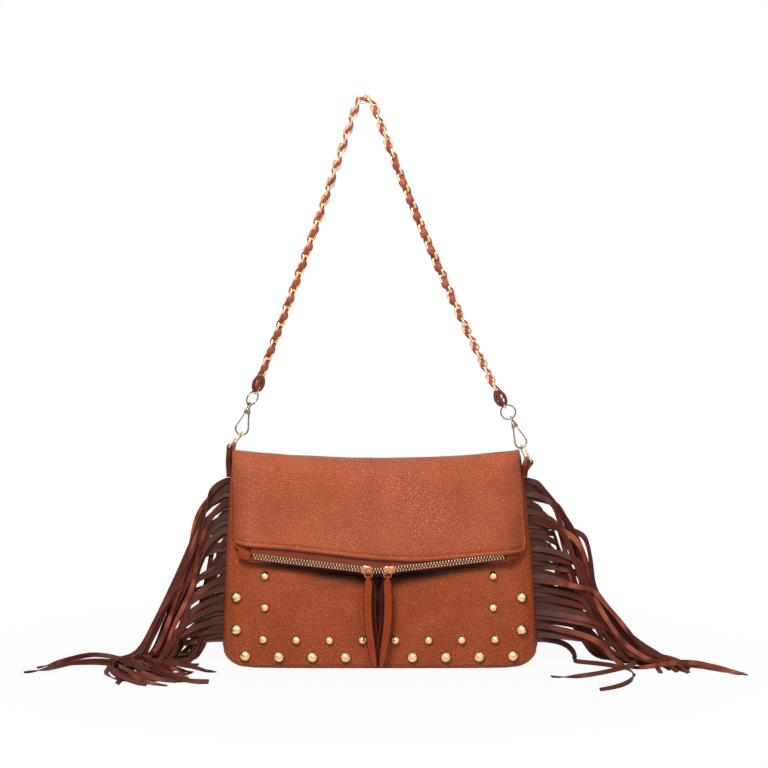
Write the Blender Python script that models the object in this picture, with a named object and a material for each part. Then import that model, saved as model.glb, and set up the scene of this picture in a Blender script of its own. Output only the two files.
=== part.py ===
"""Fold-over leather shoulder bag with side fringe, dome studs, a two-slider zip and a chain strap.

Units are metres, +Z up, -Y is the front. The origin is the top of the strap, where the bag is held.
Shapes are worked out in the pouch's own frame (X across, base at Z = 0, side seams at Y = 0) and
moved to the strap's frame by `placed`.
"""

import math

import bmesh
import bpy
from mathutils import Matrix, Vector
from mathutils.bvhtree import BVHTree

# Pouch
POUCH_HEIGHT = 0.2165        # base to the fold at the side seams
FOLD_SAG = 0.0075            # how far the fold dips at mid-width
BASE_WIDTH = 0.309
FOLD_WIDTH = 0.281
MOUTH_WIDTH = 0.2865
FOLD_SHIFT = -0.004          # the fold leans this far to the left
BASE_CORNER = 0.020          # rounded lower corners, seen from the front
BASE_HALF_DEPTH = 0.0205     # front or back wall just above the base
BASE_EDGE_RADIUS = 0.0065
BASE_EDGE_LEAST = 0.12       # share of the base edge's height that is left at the side seams
SEAM_STEP = 0.0008           # each row of the base climbs this much over the last at the side seams
NEAR_SEAM = 0.8              # share of the half-width past which a column counts as near its seam
NARROWING = 1.6              # power of the change from the base's width to the fold's
LEATHER = 0.0016
CLEARANCE = 0.0003
HEADER_THICKNESS = 0.0012    # fringe band sewn between the panels
FOLD_RADIUS_SIDE = 0.006     # bend of the fold at the side seams
FOLD_RADIUS_MIDDLE = 0.014

# Front and back walls at mid-width: share of the wall's height, depth from the seam plane
BACK_WALL = ((0.0, 0.0205), (0.18, 0.0225), (0.40, 0.0215), (0.62, 0.0175), (0.82, 0.0110), (1.0, 0.0060))
FRONT_WALL = ((0.0, 0.0205), (0.14, 0.0225), (0.30, 0.0225), (0.48, 0.0185), (0.66, 0.0130),
              (0.84, 0.0065), (1.0, 0.0020))
FOLD_TURNS = (30, 60, 90, 120, 150, 180)        # degrees round the fold

# The flap, and the leather behind the zip: heights are above the teeth line
FLAP_ROWS = (0.25, 0.5, 0.75, 0.92, 1.0)        # shares of the way from the fold to the flap's edge
FLAP_FALL = 0.8              # power of the flap's forward slope
BEHIND_ZIP = ((0.040, 0.0085), (0.014, 0.0065))     # height, depth behind the teeth line
SLIDER_BAY = ((0.002, 0.0006), (-0.0046, 0.0))      # height, depth beyond the least that clears a slider
SLIDER_ROOM = 0.0004         # spare room between a slider and the leather behind it
LOWER_LIP = (-0.0080, -0.0105)      # heights between which the leather lies on the lower tape
MOUTH_TO_FOLD = 0.085        # height over which the leather narrows from the mouth's width to the fold's
MOUTH_TUCK = 0.001           # the mouth meets the seams this far behind the fold's front

# Zip along the mouth, each half straight from the middle outward
ZIP_MIDDLE_X = -0.002
ZIP_HEIGHT = 0.1015          # teeth line at mid-width, above the base
ZIP_FORWARD = 0.038          # teeth line at mid-width, in front of the seam plane
ZIP_RISE = 0.100             # rise of the teeth line for each metre outward
ZIP_RETREAT = 0.105          # retreat of the teeth line for each metre outward
ZIP_BLEND = 0.006            # half-width of the rounded middle
ZIP_MARGIN = 0.01775         # end of the teeth to the side seam
TOOTH_PITCH = 0.0032
TOOTH_REACH = 0.0016
TOOTH_BAR = 0.0008
TOOTH_DEPTH = 0.0020
TOOTH_SPAN = (0.22, 0.78)    # where a tooth starts and ends, as shares of the pitch
TAPE_THICKNESS = 0.0006
FLAP_EDGE_ABOVE_ZIP = 0.0095
TAPE_OVERLAP = 0.002
LOWER_TAPE_EDGE = -0.0102    # the lower tape's edge, above the teeth line
FLAP_STANDOFF = 0.0009       # extra gap between the flap's edge and the zip tape

# Folded leather end of the zip: distance past the teeth, share of its height, share of its thickness
CAP_HEIGHT = 0.0092
CAP_THICKNESS = 0.0023
CAP_FORWARD = 0.0001         # the cap sits this far in front of the teeth line
CAP_STATIONS = ((0.0, 0.82, 0.9), (0.0012, 1.0, 1.0), (0.0075, 1.0, 0.8), (0.0120, 0.75, 0.4))

# Sliders, pull rings and pulls
SLIDER_LENGTH = 0.0110
SLIDER_PLATE = 0.0010
SLIDER_NECK = 0.0005
SLIDER_FLANGE = 0.0009
SLIDER_OFFSET = 0.0110       # slider from the zip's middle
PULL_INSET = 0.0020          # bail from the slider's middle, toward the zip's middle
BAIL_WIRE = 0.0011
BAIL_HALF_WIDTH = 0.0021
BAIL_SUNK = 0.0005           # the bail's feet reach this far into the slider's face
HAIRLINE = 0.0001            # least extra gap between round faces
PULL_RING_WIDTH = 0.0082
PULL_RING_HEIGHT = 0.0084
PULL_RING_CORNER = 0.0022
PULL_RING_WIRE = 0.0011
PULL_LENGTH = 0.088
PULL_WIDTH = 0.0095
PULL_NECK_GAP = 0.0010       # strap's edge to the ring's upright, where it passes through
PULL_PLY = 0.0013
# Each ply from its end to the ring: distance from the ring as a share of the length, share of the width
PULL_TAPER = ((1.0, 1.0), (0.5, 0.90), (0.13, 0.82), (0.033, 0.74))
PULL_LEAN = math.radians(2.3)

# Studs
LARGE_STUD = 0.0090
SMALL_STUD = 0.0072
# A dome's rings: height as a share of its rise, radius as a share of its own
STUD_RINGS = ((0.0, 0.94), (0.12, 1.0), (0.55, 0.80), (0.9, 0.42))
STUD_SIDES = 8
STUD_RISE = 0.40             # dome height as a share of its diameter
STUD_SHIFT = -0.001          # the stud pattern sits this far to the left
LOWER_ROW = (9, 0.0233, 0.0137)     # count, end stud to the side seam, height
UPPER_ROW = (8, 0.0408, 0.0305)
OUTER_COLUMN = (0.0150, (0.0622, 0.0300))   # distance from the side seam, depths below the zip
INNER_COLUMN = (0.0425, (0.0391, 0.0083))

# Fringe
FRINGE_FOOT = 0.024          # lowest point of the band in the side seam
FRINGE_BELOW_FOLD = 0.0285
FRINGE_TUCK = 0.008          # depth of the band inside the seam
FRINGE_STANDOUT = 0.006
FRINGE_LEVEL_RUN = 0.022     # a strip runs outward about this far before it falls
STRIP_COUNT = 10
STRIP_WIDTH = 0.0100
STRIP_THICKNESS = 0.0015
FRINGE_REACH = 0.193         # furthest strip end, outward from the seam
FRINGE_FRONT = math.radians(58)     # strips spread this far to the front and to the back
FRINGE_BACK = math.radians(26)
FRINGE_BACK_SHARE = 0.72     # reach of the strip furthest back, as a share of the longest

# Snap hooks, D-rings and tabs
HOOK_WIRE = 0.0020
HOOK_BEND = 0.0062           # radius of the hook's round end
HOOK_LENGTH = 0.0215         # round end to collar
HOOK_SHANK = -0.0019         # the wire enters the collar this far to the inner side
HOOK_NOSE = math.radians(14)        # the round end goes this far past level on the outer side
SHANK_SUNK = 0.0012          # the wire reaches this far into the collar
GATE_HINGE = 0.0023          # the gate's hinge, to the outer side
GATE_SHARE = 0.85            # the gate's wire as a share of the hook's
COLLAR_HEIGHT = 0.0058
# Height up the collar, half-width, half-depth
COLLAR_STATIONS = ((0.0, 0.0033, 0.0013), (0.0010, 0.0036, 0.0017), (0.0044, 0.0025, 0.0017),
                   (COLLAR_HEIGHT, 0.0019, 0.0014))
EYE_RADIUS = 0.0021
EYE_WIRE = 0.0015
EYE_STEM = ((0.0, 0.0015), (0.0006, 0.0017), (0.0012, 0.0013))      # height, radius
EYE_RISE = 0.0006            # foot of the stem to the outside of the eye
END_RING_RADIUS = 0.0072
END_RING_WIRE = 0.0018
D_RING_WIRE = 0.0022
D_RING_HEIGHT = 0.0180
D_RING_RADIUS = 0.0085
D_RING_CORNER = 0.0012
TAB_PLY = 0.0012
TAB_TO_FRINGE = 0.0015
TAB_STANDOFF = 0.0014        # tab to the edge of the pouch beside it

# Chain strap
STRAP_DROP = 0.3490          # strap top above the fold at the side seams
STRAP_SHIFT = -0.0147        # strap top from the pouch's mid-width
APEX_RADIUS = 0.0080
LINK_PITCH = 0.0090
LINK_WIDTH = 0.0093
LINK_WIRE = 0.0017
LACE_ROOM = 0.0038           # what the lace leaves free of a link's inner width
LACE_THICKNESS = 0.0012
STRAP_TWIST = math.radians(45)

LEG_SAG = {"left": 0.0067, "right": 0.0129}     # how far a leg's middle hangs below its chord
LEG_LEAN = {"left": 0.36, "right": -0.40}       # first guess at the lean of a leg's foot, radians

SIDES = {"left": -1, "right": 1}
# Where each hook rests: outward and upward from the fold's corner, the lean of the D-ring and of the
# hook in degrees, and how far the hook is turned about its own length
HOOK_FIT = {
    "left": dict(outward=-0.0070, above=0.0155, ring_lean=38.0, hook_lean=17.5, turn=0.0),
    "right": dict(outward=0.0040, above=0.0025, ring_lean=24.0, hook_lean=-21.0, turn=25.0),
}

ZIP_HALF_LENGTH = MOUTH_WIDTH / 2 - ZIP_MARGIN
PULL_NECK = PULL_RING_WIDTH - 2 * (PULL_RING_WIRE + PULL_NECK_GAP)
FRINGE_HEAD = POUCH_HEIGHT - FRINGE_BELOW_FOLD
TAB_FOOT = FRINGE_HEAD + TAB_TO_FRINGE
TAB_WIDTH = 2 * (D_RING_RADIUS - D_RING_WIRE / 2 - CLEARANCE / 2)
LACE_WIDTH = LINK_WIDTH - 2 * LINK_WIRE - LACE_ROOM
SEAM_GAP = HEADER_THICKNESS + 2 * CLEARANCE
SEAM_OFFSET = (SEAM_GAP + LEATHER) / 2
HANG_HEIGHT = POUCH_HEIGHT + STRAP_DROP
ROW_GAP = SLIDER_NECK + 2 * CLEARANCE
POUCH_TO_STRAP = Vector((-STRAP_SHIFT, FOLD_RADIUS_SIDE, -HANG_HEIGHT))
Z = Vector((0, 0, 1))

# Columns of the panels as shares of the half-width, closest together round the lower corners
CORNER_TURNS = (0, 22, 44, 66, 90)
CORNER_SHARES = [1 - 2 * BASE_CORNER / BASE_WIDTH * (1 - math.sin(math.radians(turn)))
                 for turn in CORNER_TURNS]
HALF_SHARES = [0.24, 0.48, 0.69] + CORNER_SHARES
COLUMN_SHARES = [-share for share in reversed(HALF_SHARES)] + [0.0] + HALF_SHARES


def placed(point):
    """A point of the pouch's frame in the strap's frame."""
    return Vector(point) + POUCH_TO_STRAP


def blend(a, b, share):
    return a + (b - a) * share


def make_material(name, colour, roughness, metallic=0.0):
    material = bpy.data.materials.new(name)
    material.use_nodes = True
    shader = material.node_tree.nodes["Principled BSDF"]
    shader.inputs["Base Color"].default_value = (*colour, 1)
    shader.inputs["Roughness"].default_value = roughness
    shader.inputs["Metallic"].default_value = metallic
    material.diffuse_color = (*colour, 1)
    return material


def make_materials():
    return {
        "tan": make_material("tan_leather", (0.36, 0.095, 0.035), 0.5),
        "edge": make_material("painted_edge_leather", (0.22, 0.045, 0.03), 0.5),
        "fringe": make_material("fringe_leather", (0.12, 0.03, 0.022), 0.55),
        "lace": make_material("lace_leather", (0.26, 0.06, 0.03), 0.5),
        "tape": make_material("zip_tape", (0.10, 0.03, 0.025), 0.9),
        "gold": make_material("pale_gold", (0.80, 0.58, 0.30), 0.22, 1.0),
        "rose": make_material("rose_gold", (0.78, 0.42, 0.28), 0.25, 1.0),
    }


def new_piece(name, mesh_or_bm, material, origin=(0, 0, 0), parent=None, smooth=True):
    """One object whose mesh is given in the strap's frame and whose own origin is `origin`."""
    if isinstance(mesh_or_bm, bmesh.types.BMesh):
        mesh = bpy.data.meshes.new(name)
        mesh_or_bm.to_mesh(mesh)
        mesh_or_bm.free()
    else:
        mesh = mesh_or_bm
        mesh.name = name
    origin = Vector(origin)
    mesh.transform(Matrix.Translation(-origin))
    mesh.materials.clear()
    mesh.materials.append(material)
    if smooth:
        mesh.shade_smooth()
        mesh.set_sharp_from_angle(angle=math.radians(40))
    piece = bpy.data.objects.new(name, mesh)
    bpy.context.collection.objects.link(piece)
    piece.location = origin
    if parent:
        piece.parent = parent
        piece.location = origin - parent.matrix_world.translation
    bpy.context.view_layer.update()
    return piece


def new_empty(name, origin, parent=None):
    empty = bpy.data.objects.new(name, None)
    empty.empty_display_size = 0.01
    bpy.context.collection.objects.link(empty)
    empty.location = Vector(origin) - (parent.matrix_world.translation if parent else Vector())
    empty.parent = parent
    bpy.context.view_layer.update()
    return empty


def loft(rings, closed_ring=True, closed_path=False, caps=True):
    """A bmesh through rings of points, each ring the same length."""
    bm = bmesh.new()
    rows = [[bm.verts.new(p) for p in ring] for ring in rings]
    pairs = list(zip(rows, rows[1:])) + ([(rows[-1], rows[0])] if closed_path else [])
    size = len(rings[0])
    for low, high in pairs:
        for i in range(size if closed_ring else size - 1):
            j = (i + 1) % size
            bm.faces.new((low[i], low[j], high[j], high[i]))
    if caps and closed_ring and not closed_path:
        bm.faces.new(list(reversed(rows[0])))
        bm.faces.new(rows[-1])
    bmesh.ops.recalc_face_normals(bm, faces=bm.faces)
    return bm


def frame_ring(centre, across, up, half_across, half_up):
    """Four corners of a rectangle, half_across along `across` and half_up along `up`."""
    return [centre + across * (a * half_across) + up * (b * half_up)
            for a, b in ((-1, -1), (1, -1), (1, 1), (-1, 1))]


def cornered_ring(centre, across, up, half_across, half_up, flat):
    """A rectangle with its corners cut, where `flat` is the share of the width left straight."""
    return [centre + across * (a * half_across) + up * (b * half_up) for a, b in
            ((-1, -0.5), (-flat, -1), (flat, -1), (1, -0.5), (1, 0.5), (flat, 1), (-flat, 1), (-1, 0.5))]


def round_ring(centre, across, up, radius, sides):
    turn = math.pi / sides
    return [centre + across * (radius * math.cos(turn + 2 * math.pi * i / sides))
            + up * (radius * math.sin(turn + 2 * math.pi * i / sides)) for i in range(sides)]


def planar_wire(path, normal, radius, sides, closed=False):
    """A round wire along points that lie in one plane with the given normal."""
    rings = []
    count = len(path)
    for i, point in enumerate(path):
        before = path[i - 1] if closed or i else path[0]
        after = path[(i + 1) % count] if closed or i < count - 1 else path[-1]
        tangent = (after - before).normalized()
        across = tangent.cross(normal).normalized()
        bend = 1.0
        if closed or 0 < i < count - 1:
            first, second = (point - before).normalized(), (after - point).normalized()
            bend = 1 / max(0.6, math.sqrt((1 + first.dot(second)) / 2))
        turn = math.pi / sides
        rings.append([point + across * (radius * bend * math.cos(turn + 2 * math.pi * k / sides))
                      + normal * (radius * math.sin(turn + 2 * math.pi * k / sides))
                      for k in range(sides)])
    return loft(rings, closed_path=closed)


def torus(centre, first, second, radius, wire, around=24, sides=6):
    path = [centre + first * (radius * math.cos(2 * math.pi * i / around))
            + second * (radius * math.sin(2 * math.pi * i / around)) for i in range(around)]
    return planar_wire(path, first.cross(second).normalized(), wire / 2, sides, closed=True)


def folded_strap(path, normal, widths, thickness):
    """A flat strap with a width along `normal` for each point of its path, which lies in one plane."""
    rings = []
    for i, point in enumerate(path):
        before, after = path[max(i - 1, 0)], path[min(i + 1, len(path) - 1)]
        tangent = (after - before).normalized()
        across = tangent.cross(normal).normalized()
        bend = 1.0
        if 0 < i < len(path) - 1:
            first, second = (point - before).normalized(), (after - point).normalized()
            bend = 1 / max(0.6, math.sqrt((1 + first.dot(second)) / 2))
        rings.append(frame_ring(point, across, normal, thickness / 2 * bend, widths[i] / 2))
    return loft(rings)


def join_solids(name, solids, material, **where):
    """One closed body from overlapping closed bmeshes, by EXACT Boolean unions."""
    base, *others = solids
    mesh = bpy.data.meshes.new(name)
    base.to_mesh(mesh)
    base.free()
    whole = bpy.data.objects.new(name + "_whole", mesh)
    bpy.context.collection.objects.link(whole)
    for other in others:
        tool_mesh = bpy.data.meshes.new(name + "_tool")
        other.to_mesh(tool_mesh)
        other.free()
        tool = bpy.data.objects.new(name + "_tool", tool_mesh)
        bpy.context.collection.objects.link(tool)
        union = whole.modifiers.new("union", "BOOLEAN")
        union.operation = "UNION"
        union.solver = "EXACT"
        union.object = tool
        bpy.context.view_layer.update()
        depsgraph = bpy.context.evaluated_depsgraph_get()
        result = bpy.data.meshes.new_from_object(whole.evaluated_get(depsgraph))
        whole.modifiers.clear()
        whole.data = result
        bpy.data.objects.remove(tool)
    result = whole.data.copy()
    bpy.data.objects.remove(whole)
    return new_piece(name, result, material, **where)


def bulge(u):
    """1 at mid-width, falling to 0 at the side seams (u = -1 and 1)."""
    return math.sqrt(max(0.0, 1 - u ** 4))


def near_seam(u):
    """0 over the middle of the pouch, rising to 1 at the side seams."""
    return max(0.0, (abs(u) - NEAR_SEAM) / (1 - NEAR_SEAM))


def centre_and_half_width(share):
    """Mid-line shift and half-width of the panels: share 0 is the base, 1 the fold, 2 the mouth."""
    if share <= 1:
        return FOLD_SHIFT * share ** 2, blend(BASE_WIDTH, FOLD_WIDTH, share ** NARROWING) / 2
    return FOLD_SHIFT * (2 - share), blend(FOLD_WIDTH, MOUTH_WIDTH, share - 1) / 2


def base_lift(u):
    """Height of the base at a column, with its rounded lower corners."""
    half = BASE_WIDTH / 2
    reach = abs(u) * half - (half - BASE_CORNER)
    return 0.0 if reach <= 0 else BASE_CORNER - math.sqrt(max(0.0, BASE_CORNER ** 2 - reach ** 2))


def fold_radius(u):
    return blend(FOLD_RADIUS_SIDE, FOLD_RADIUS_MIDDLE, bulge(u))


def fold_centre_height(u):
    top = POUCH_HEIGHT - FOLD_SAG * (1 - u ** 2)
    return top - fold_radius(u) - SEAM_OFFSET - bulge(u) * BACK_WALL[-1][1]


def zip_outward(x):
    """Distance from the zip's middle, rounded over the middle itself."""
    d = abs(x - ZIP_MIDDLE_X)
    return d if d >= ZIP_BLEND else (d * d + ZIP_BLEND ** 2) / (2 * ZIP_BLEND)


def zip_point(x):
    """A point on the line between the two rows of teeth."""
    out = zip_outward(x)
    return Vector((x, -ZIP_FORWARD + ZIP_RETREAT * out, ZIP_HEIGHT + ZIP_RISE * out))


def zip_frame(x):
    """Along, up and outward-facing directions of the zip at x."""
    step = 1e-4
    tangent = (zip_point(x + step) - zip_point(x - step)).normalized()
    up = (Z - tangent * tangent.z).normalized()
    return tangent, up, up.cross(tangent).normalized() * -1


def mouth_point(x, half_width):
    """The zip line carried on to the side seams, where it turns in to meet them."""
    point = zip_point(x)
    past = max(0.0, abs(x - ZIP_MIDDLE_X) - ZIP_HALF_LENGTH)
    span = max(1e-6, half_width - ZIP_HALF_LENGTH)
    seam_y = -2 * FOLD_RADIUS_SIDE - MOUTH_TUCK
    at_end = -ZIP_FORWARD + ZIP_RETREAT * (ZIP_HALF_LENGTH + span)
    point.y += (seam_y - at_end) * min(1.0, past / span) ** 2
    return point


def wall_rows(u, table, side, top_height):
    """Base, base edge and wall of one panel at a column; side is 1 for the back and -1 for the front."""
    c, s = bulge(u), near_seam(u)
    lift = base_lift(u) + LEATHER / 2
    flat = BASE_HALF_DEPTH - BASE_EDGE_RADIUS
    spread = SEAM_STEP * s
    rows = []
    start = blend(CLEARANCE / 2, SEAM_OFFSET, s)
    for k, share in enumerate((0.0, 0.3, 0.65, 1.0)):
        rows.append((start + (SEAM_OFFSET - start) * share + c * flat * share, lift + spread * k, 0.0))
    edge = BASE_EDGE_RADIUS * max(c, BASE_EDGE_LEAST)
    for k, degrees in enumerate((35, 70)):
        turn = math.radians(degrees)
        rows.append((SEAM_OFFSET + c * flat + c * BASE_EDGE_RADIUS * math.sin(turn),
                     lift + spread * (4 + k) + edge * (1 - math.cos(turn)), 0.02))
    foot = lift + spread * 5 + edge
    for share, depth in table:
        height = blend(foot, top_height, share)
        rows.append((SEAM_OFFSET + c * depth, height, height / POUCH_HEIGHT))
    return [(side * y, z, share) for y, z, share in rows]


def panel_rows(u, outer):
    """Mid-surface points of a panel at a column, from the base seam to the mouth."""
    c = bulge(u)
    radius, centre_z = fold_radius(u), fold_centre_height(u)
    table, side = (BACK_WALL, 1) if outer else (FRONT_WALL, -1)
    rows = wall_rows(u, table, side, centre_z)
    bend = radius + side * (SEAM_OFFSET + c * table[-1][1])
    for degrees in FOLD_TURNS:
        turn = math.radians(degrees)
        rows.append((-radius + bend * math.cos(turn), centre_z + bend * math.sin(turn), 1.0))
    fold_y, fold_z = rows[-1][:2]
    centre, half = centre_and_half_width(2)
    x = centre + u * half
    mouth = mouth_point(x, half)
    lip = TAPE_THICKNESS / 2 + CLEARANCE + LEATHER / 2
    reach = min(1.0, max(0.0, (half - abs(x - centre)) / (half - ZIP_HALF_LENGTH)))
    if outer:
        end_y, end_z = mouth.y - lip - FLAP_STANDOFF * reach, mouth.z + FLAP_EDGE_ABOVE_ZIP
        for share in FLAP_ROWS:
            rows.append((blend(fold_y, end_y, share ** FLAP_FALL), blend(fold_z, end_z, share), 1 + share))
        return rows
    behind = TOOTH_DEPTH / 2 + 2 * CLEARANCE + SLIDER_PLATE + LEATHER / 2 + SLIDER_ROOM
    table = list(BEHIND_ZIP) + [(height, behind + spare) for height, spare in SLIDER_BAY]
    for height, depth in table + [(height, lip) for height in LOWER_LIP]:
        share = blend(2.0, 1.0, max(0.0, height) / MOUTH_TO_FOLD)
        rows.append((mouth.y + blend(lip, depth, reach), mouth.z + height, share))
    return rows


def make_panel(name, material, outer):
    grid = []
    for u in COLUMN_SHARES:
        column = []
        for y, z, share in panel_rows(u, outer):
            centre, half = centre_and_half_width(share)
            column.append(placed((centre + u * half, y, z)))
        grid.append(column)
    bm = loft(grid, closed_ring=False)
    facing = sum((f.normal.y for f in bm.faces if f.calc_center_median().z < placed((0, 0, 0.1)).z), 0.0)
    if (facing < 0) == outer:
        bmesh.ops.reverse_faces(bm, faces=bm.faces)
    piece = new_piece(name, bm, material)
    wall = piece.modifiers.new("leather", "SOLIDIFY")
    wall.thickness = LEATHER
    wall.offset = 0.0
    wall.use_even_offset = True
    wall.use_quality_normals = True
    return piece


def make_tape(name, material, low, high):
    """A strip of zip tape between two heights above the teeth line."""
    rings = []
    middle = [ZIP_MIDDLE_X + d for d in (-ZIP_BLEND, -ZIP_BLEND / 2, 0, ZIP_BLEND / 2, ZIP_BLEND)]
    for x in [ZIP_MIDDLE_X - ZIP_HALF_LENGTH] + middle + [ZIP_MIDDLE_X + ZIP_HALF_LENGTH]:
        _, up, out = zip_frame(x)
        centre = placed(zip_point(x)) + up * ((low + high) / 2)
        rings.append(frame_ring(centre, up, out, (high - low) / 2, TAPE_THICKNESS / 2))
    return new_piece(name, loft(rings), material, smooth=False)


def make_teeth(name, material, side, shift):
    """A row of teeth on their bar; side is 1 above the teeth line and -1 below, shift staggers them."""
    count = int((2 * ZIP_HALF_LENGTH - TOOTH_PITCH) / TOOTH_PITCH)
    length = count * TOOTH_PITCH
    start = ZIP_MIDDLE_X - length / 2 + shift
    inner, root = ROW_GAP / 2, ROW_GAP / 2 + TOOTH_REACH
    outer = root + TOOTH_BAR
    bm = bmesh.new()

    def station(x, *offsets):
        _, up, out = zip_frame(x)
        base = placed(zip_point(x))
        return [bm.verts.new(base + up * (side * o) + out * (d * TOOTH_DEPTH / 2)) for o in offsets
                for d in (-1, 1)]

    xs = []
    for k in range(count):
        xs += [start + (k + share) * TOOTH_PITCH for share in TOOTH_SPAN]
    xs = [start] + xs + [start + length]
    bars = [station(x, root, outer) for x in xs]
    for i, (a, b) in enumerate(zip(bars, bars[1:])):
        toothed = i % 2 == 1
        for j, k in ((1, 3), (3, 2), (2, 0)):
            bm.faces.new((a[j], a[k], b[k], b[j]))
        if toothed:
            head_a, head_b = station(xs[i], inner), station(xs[i + 1], inner)
            bm.faces.new((head_a[0], head_a[1], head_b[1], head_b[0]))
            bm.faces.new((a[1], b[1], head_b[1], head_a[1]))
            bm.faces.new((a[0], head_a[0], head_b[0], b[0]))
            bm.faces.new((a[0], a[1], head_a[1], head_a[0]))
            bm.faces.new((b[1], b[0], head_b[0], head_b[1]))
        else:
            bm.faces.new((a[0], a[1], b[1], b[0]))
    bm.faces.new((bars[0][0], bars[0][2], bars[0][3], bars[0][1]))
    bm.faces.new((bars[-1][0], bars[-1][1], bars[-1][3], bars[-1][2]))
    bmesh.ops.recalc_face_normals(bm, faces=bm.faces)
    return new_piece(name, bm, material, smooth=False)


def make_end_cap(name, material, sign):
    """The folded leather that closes the zip at a side."""
    rings = []
    _, half = centre_and_half_width(2)
    for distance, height_share, thick_share in CAP_STATIONS:
        x = ZIP_MIDDLE_X + sign * (ZIP_HALF_LENGTH + CLEARANCE + distance)
        point = mouth_point(x, half)
        _, up, _ = zip_frame(x)
        tangent = (mouth_point(x + 1e-4, half) - mouth_point(x - 1e-4, half)).normalized()
        out = tangent.cross(up).normalized()
        rings.append(cornered_ring(placed(point) + out * CAP_FORWARD, up, out, CAP_HEIGHT / 2 * height_share,
                                   CAP_THICKNESS / 2 * thick_share, 0.6))
    return new_piece(name, loft(rings), material)


def make_slider(name, material, sign):
    """Slider body round the teeth: two plates, the neck between the rows, edge flanges and the bail."""
    x = ZIP_MIDDLE_X + sign * SLIDER_OFFSET
    along_zip, up, out = zip_frame(x)
    centre = placed(zip_point(x))
    inner = TOOTH_DEPTH / 2 + CLEARANCE
    face = inner + SLIDER_PLATE
    lip = ROW_GAP / 2 + TOOTH_REACH + TOOTH_BAR + CLEARANCE
    edge = lip + SLIDER_FLANGE
    slot = TAPE_THICKNESS / 2 + CLEARANCE
    neck = SLIDER_NECK / 2
    right = [(edge, face), (edge, slot), (lip, slot), (lip, inner), (neck, inner), (neck, -inner),
             (lip, -inner), (lip, -slot), (edge, -slot), (edge, -face)]
    outline = right + [(-a, b) for a, b in reversed(right)]
    rings = [[centre + along_zip * t + up * a + out * b for a, b in outline]
             for t in (-SLIDER_LENGTH / 2, SLIDER_LENGTH / 2)]
    solids = [loft(rings)]
    bail_at = centre - along_zip * (sign * PULL_INSET)
    foot, rise = BAIL_HALF_WIDTH, PULL_RING_WIRE + 3 * CLEARANCE + BAIL_WIRE / 2
    arch = [bail_at + up * a + out * (face + b) for a, b in
            ((-foot, -BAIL_SUNK), (-foot, rise * 0.6), (-foot * 0.55, rise), (foot * 0.55, rise),
             (foot, rise * 0.6), (foot, -BAIL_SUNK))]
    solids.append(planar_wire(arch, along_zip, BAIL_WIRE / 2, 6))
    return join_solids(name, solids, material, origin=centre, parent=bag_empty())


def pull_frame(sign):
    """Ring pivot, level hinge direction, facing direction and face distance of a pull."""
    x = ZIP_MIDDLE_X + sign * SLIDER_OFFSET
    along_zip, _, out = zip_frame(x)
    level = Vector((along_zip.x, along_zip.y, 0)).normalized()
    facing = level.cross(Z).normalized()
    if facing.y > 0:
        facing.negate()
    face = TOOTH_DEPTH / 2 + CLEARANCE + SLIDER_PLATE
    pivot = (placed(zip_point(x)) - along_zip * (sign * PULL_INSET)
             + out * (face + CLEARANCE + PULL_RING_WIRE / 2 + HAIRLINE))
    return pivot, level, facing


def make_pull(side, sign, materials):
    """The ring on a slider's bail and the leather strap folded through it."""
    pivot, level, facing = pull_frame(sign)
    half_width, drop = (PULL_RING_WIDTH - PULL_RING_WIRE) / 2, PULL_RING_HEIGHT - PULL_RING_WIRE
    middle, straight, path = pivot - Z * (drop / 2), half_width - PULL_RING_CORNER, []
    for x_sign, z_sign, start in ((1, 1, 0), (-1, 1, 90), (-1, -1, 180), (1, -1, 270)):
        for degrees in range(start, start + 91, 30):
            turn = math.radians(degrees)
            across = x_sign * straight + PULL_RING_CORNER * math.cos(turn)
            rise = z_sign * (drop / 2 - PULL_RING_CORNER) + PULL_RING_CORNER * math.sin(turn)
            path.append(middle + level * across + Z * rise)
    ring = planar_wire(path, level.cross(Z).normalized(), PULL_RING_WIRE / 2, 6, closed=True)
    new_piece(f"pull_ring_{side}", ring, materials["gold"], origin=pivot, parent=bag_empty())
    low = pivot - Z * drop
    down = (-Z * math.cos(PULL_LEAN) - level * (sign * math.sin(PULL_LEAN))).normalized()
    across = down.cross(facing).normalized()
    loop = PULL_RING_WIRE / 2 + 1.5 * CLEARANCE + PULL_PLY / 2
    half_slit = CLEARANCE / 2 + PULL_PLY / 2
    ply = [(PULL_LENGTH * drop_share, PULL_WIDTH * width_share) for drop_share, width_share in PULL_TAPER]
    path = [low + down * drop_to + facing * half_slit for drop_to, _ in ply]
    widths = [width for _, width in ply]
    for degrees in range(-30, 211, 24):
        turn = math.radians(degrees)
        path.append(low + facing * (loop * math.cos(turn)) - down * (loop * math.sin(turn)))
        widths.append(PULL_NECK)
    path += [low + down * drop_to - facing * half_slit for drop_to, _ in reversed(ply)]
    widths += [width for _, width in reversed(ply)]
    strap = folded_strap(path, across, widths, PULL_PLY)
    new_piece(f"pull_{side}", strap, materials["edge"], origin=low, parent=bag_empty())


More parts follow.
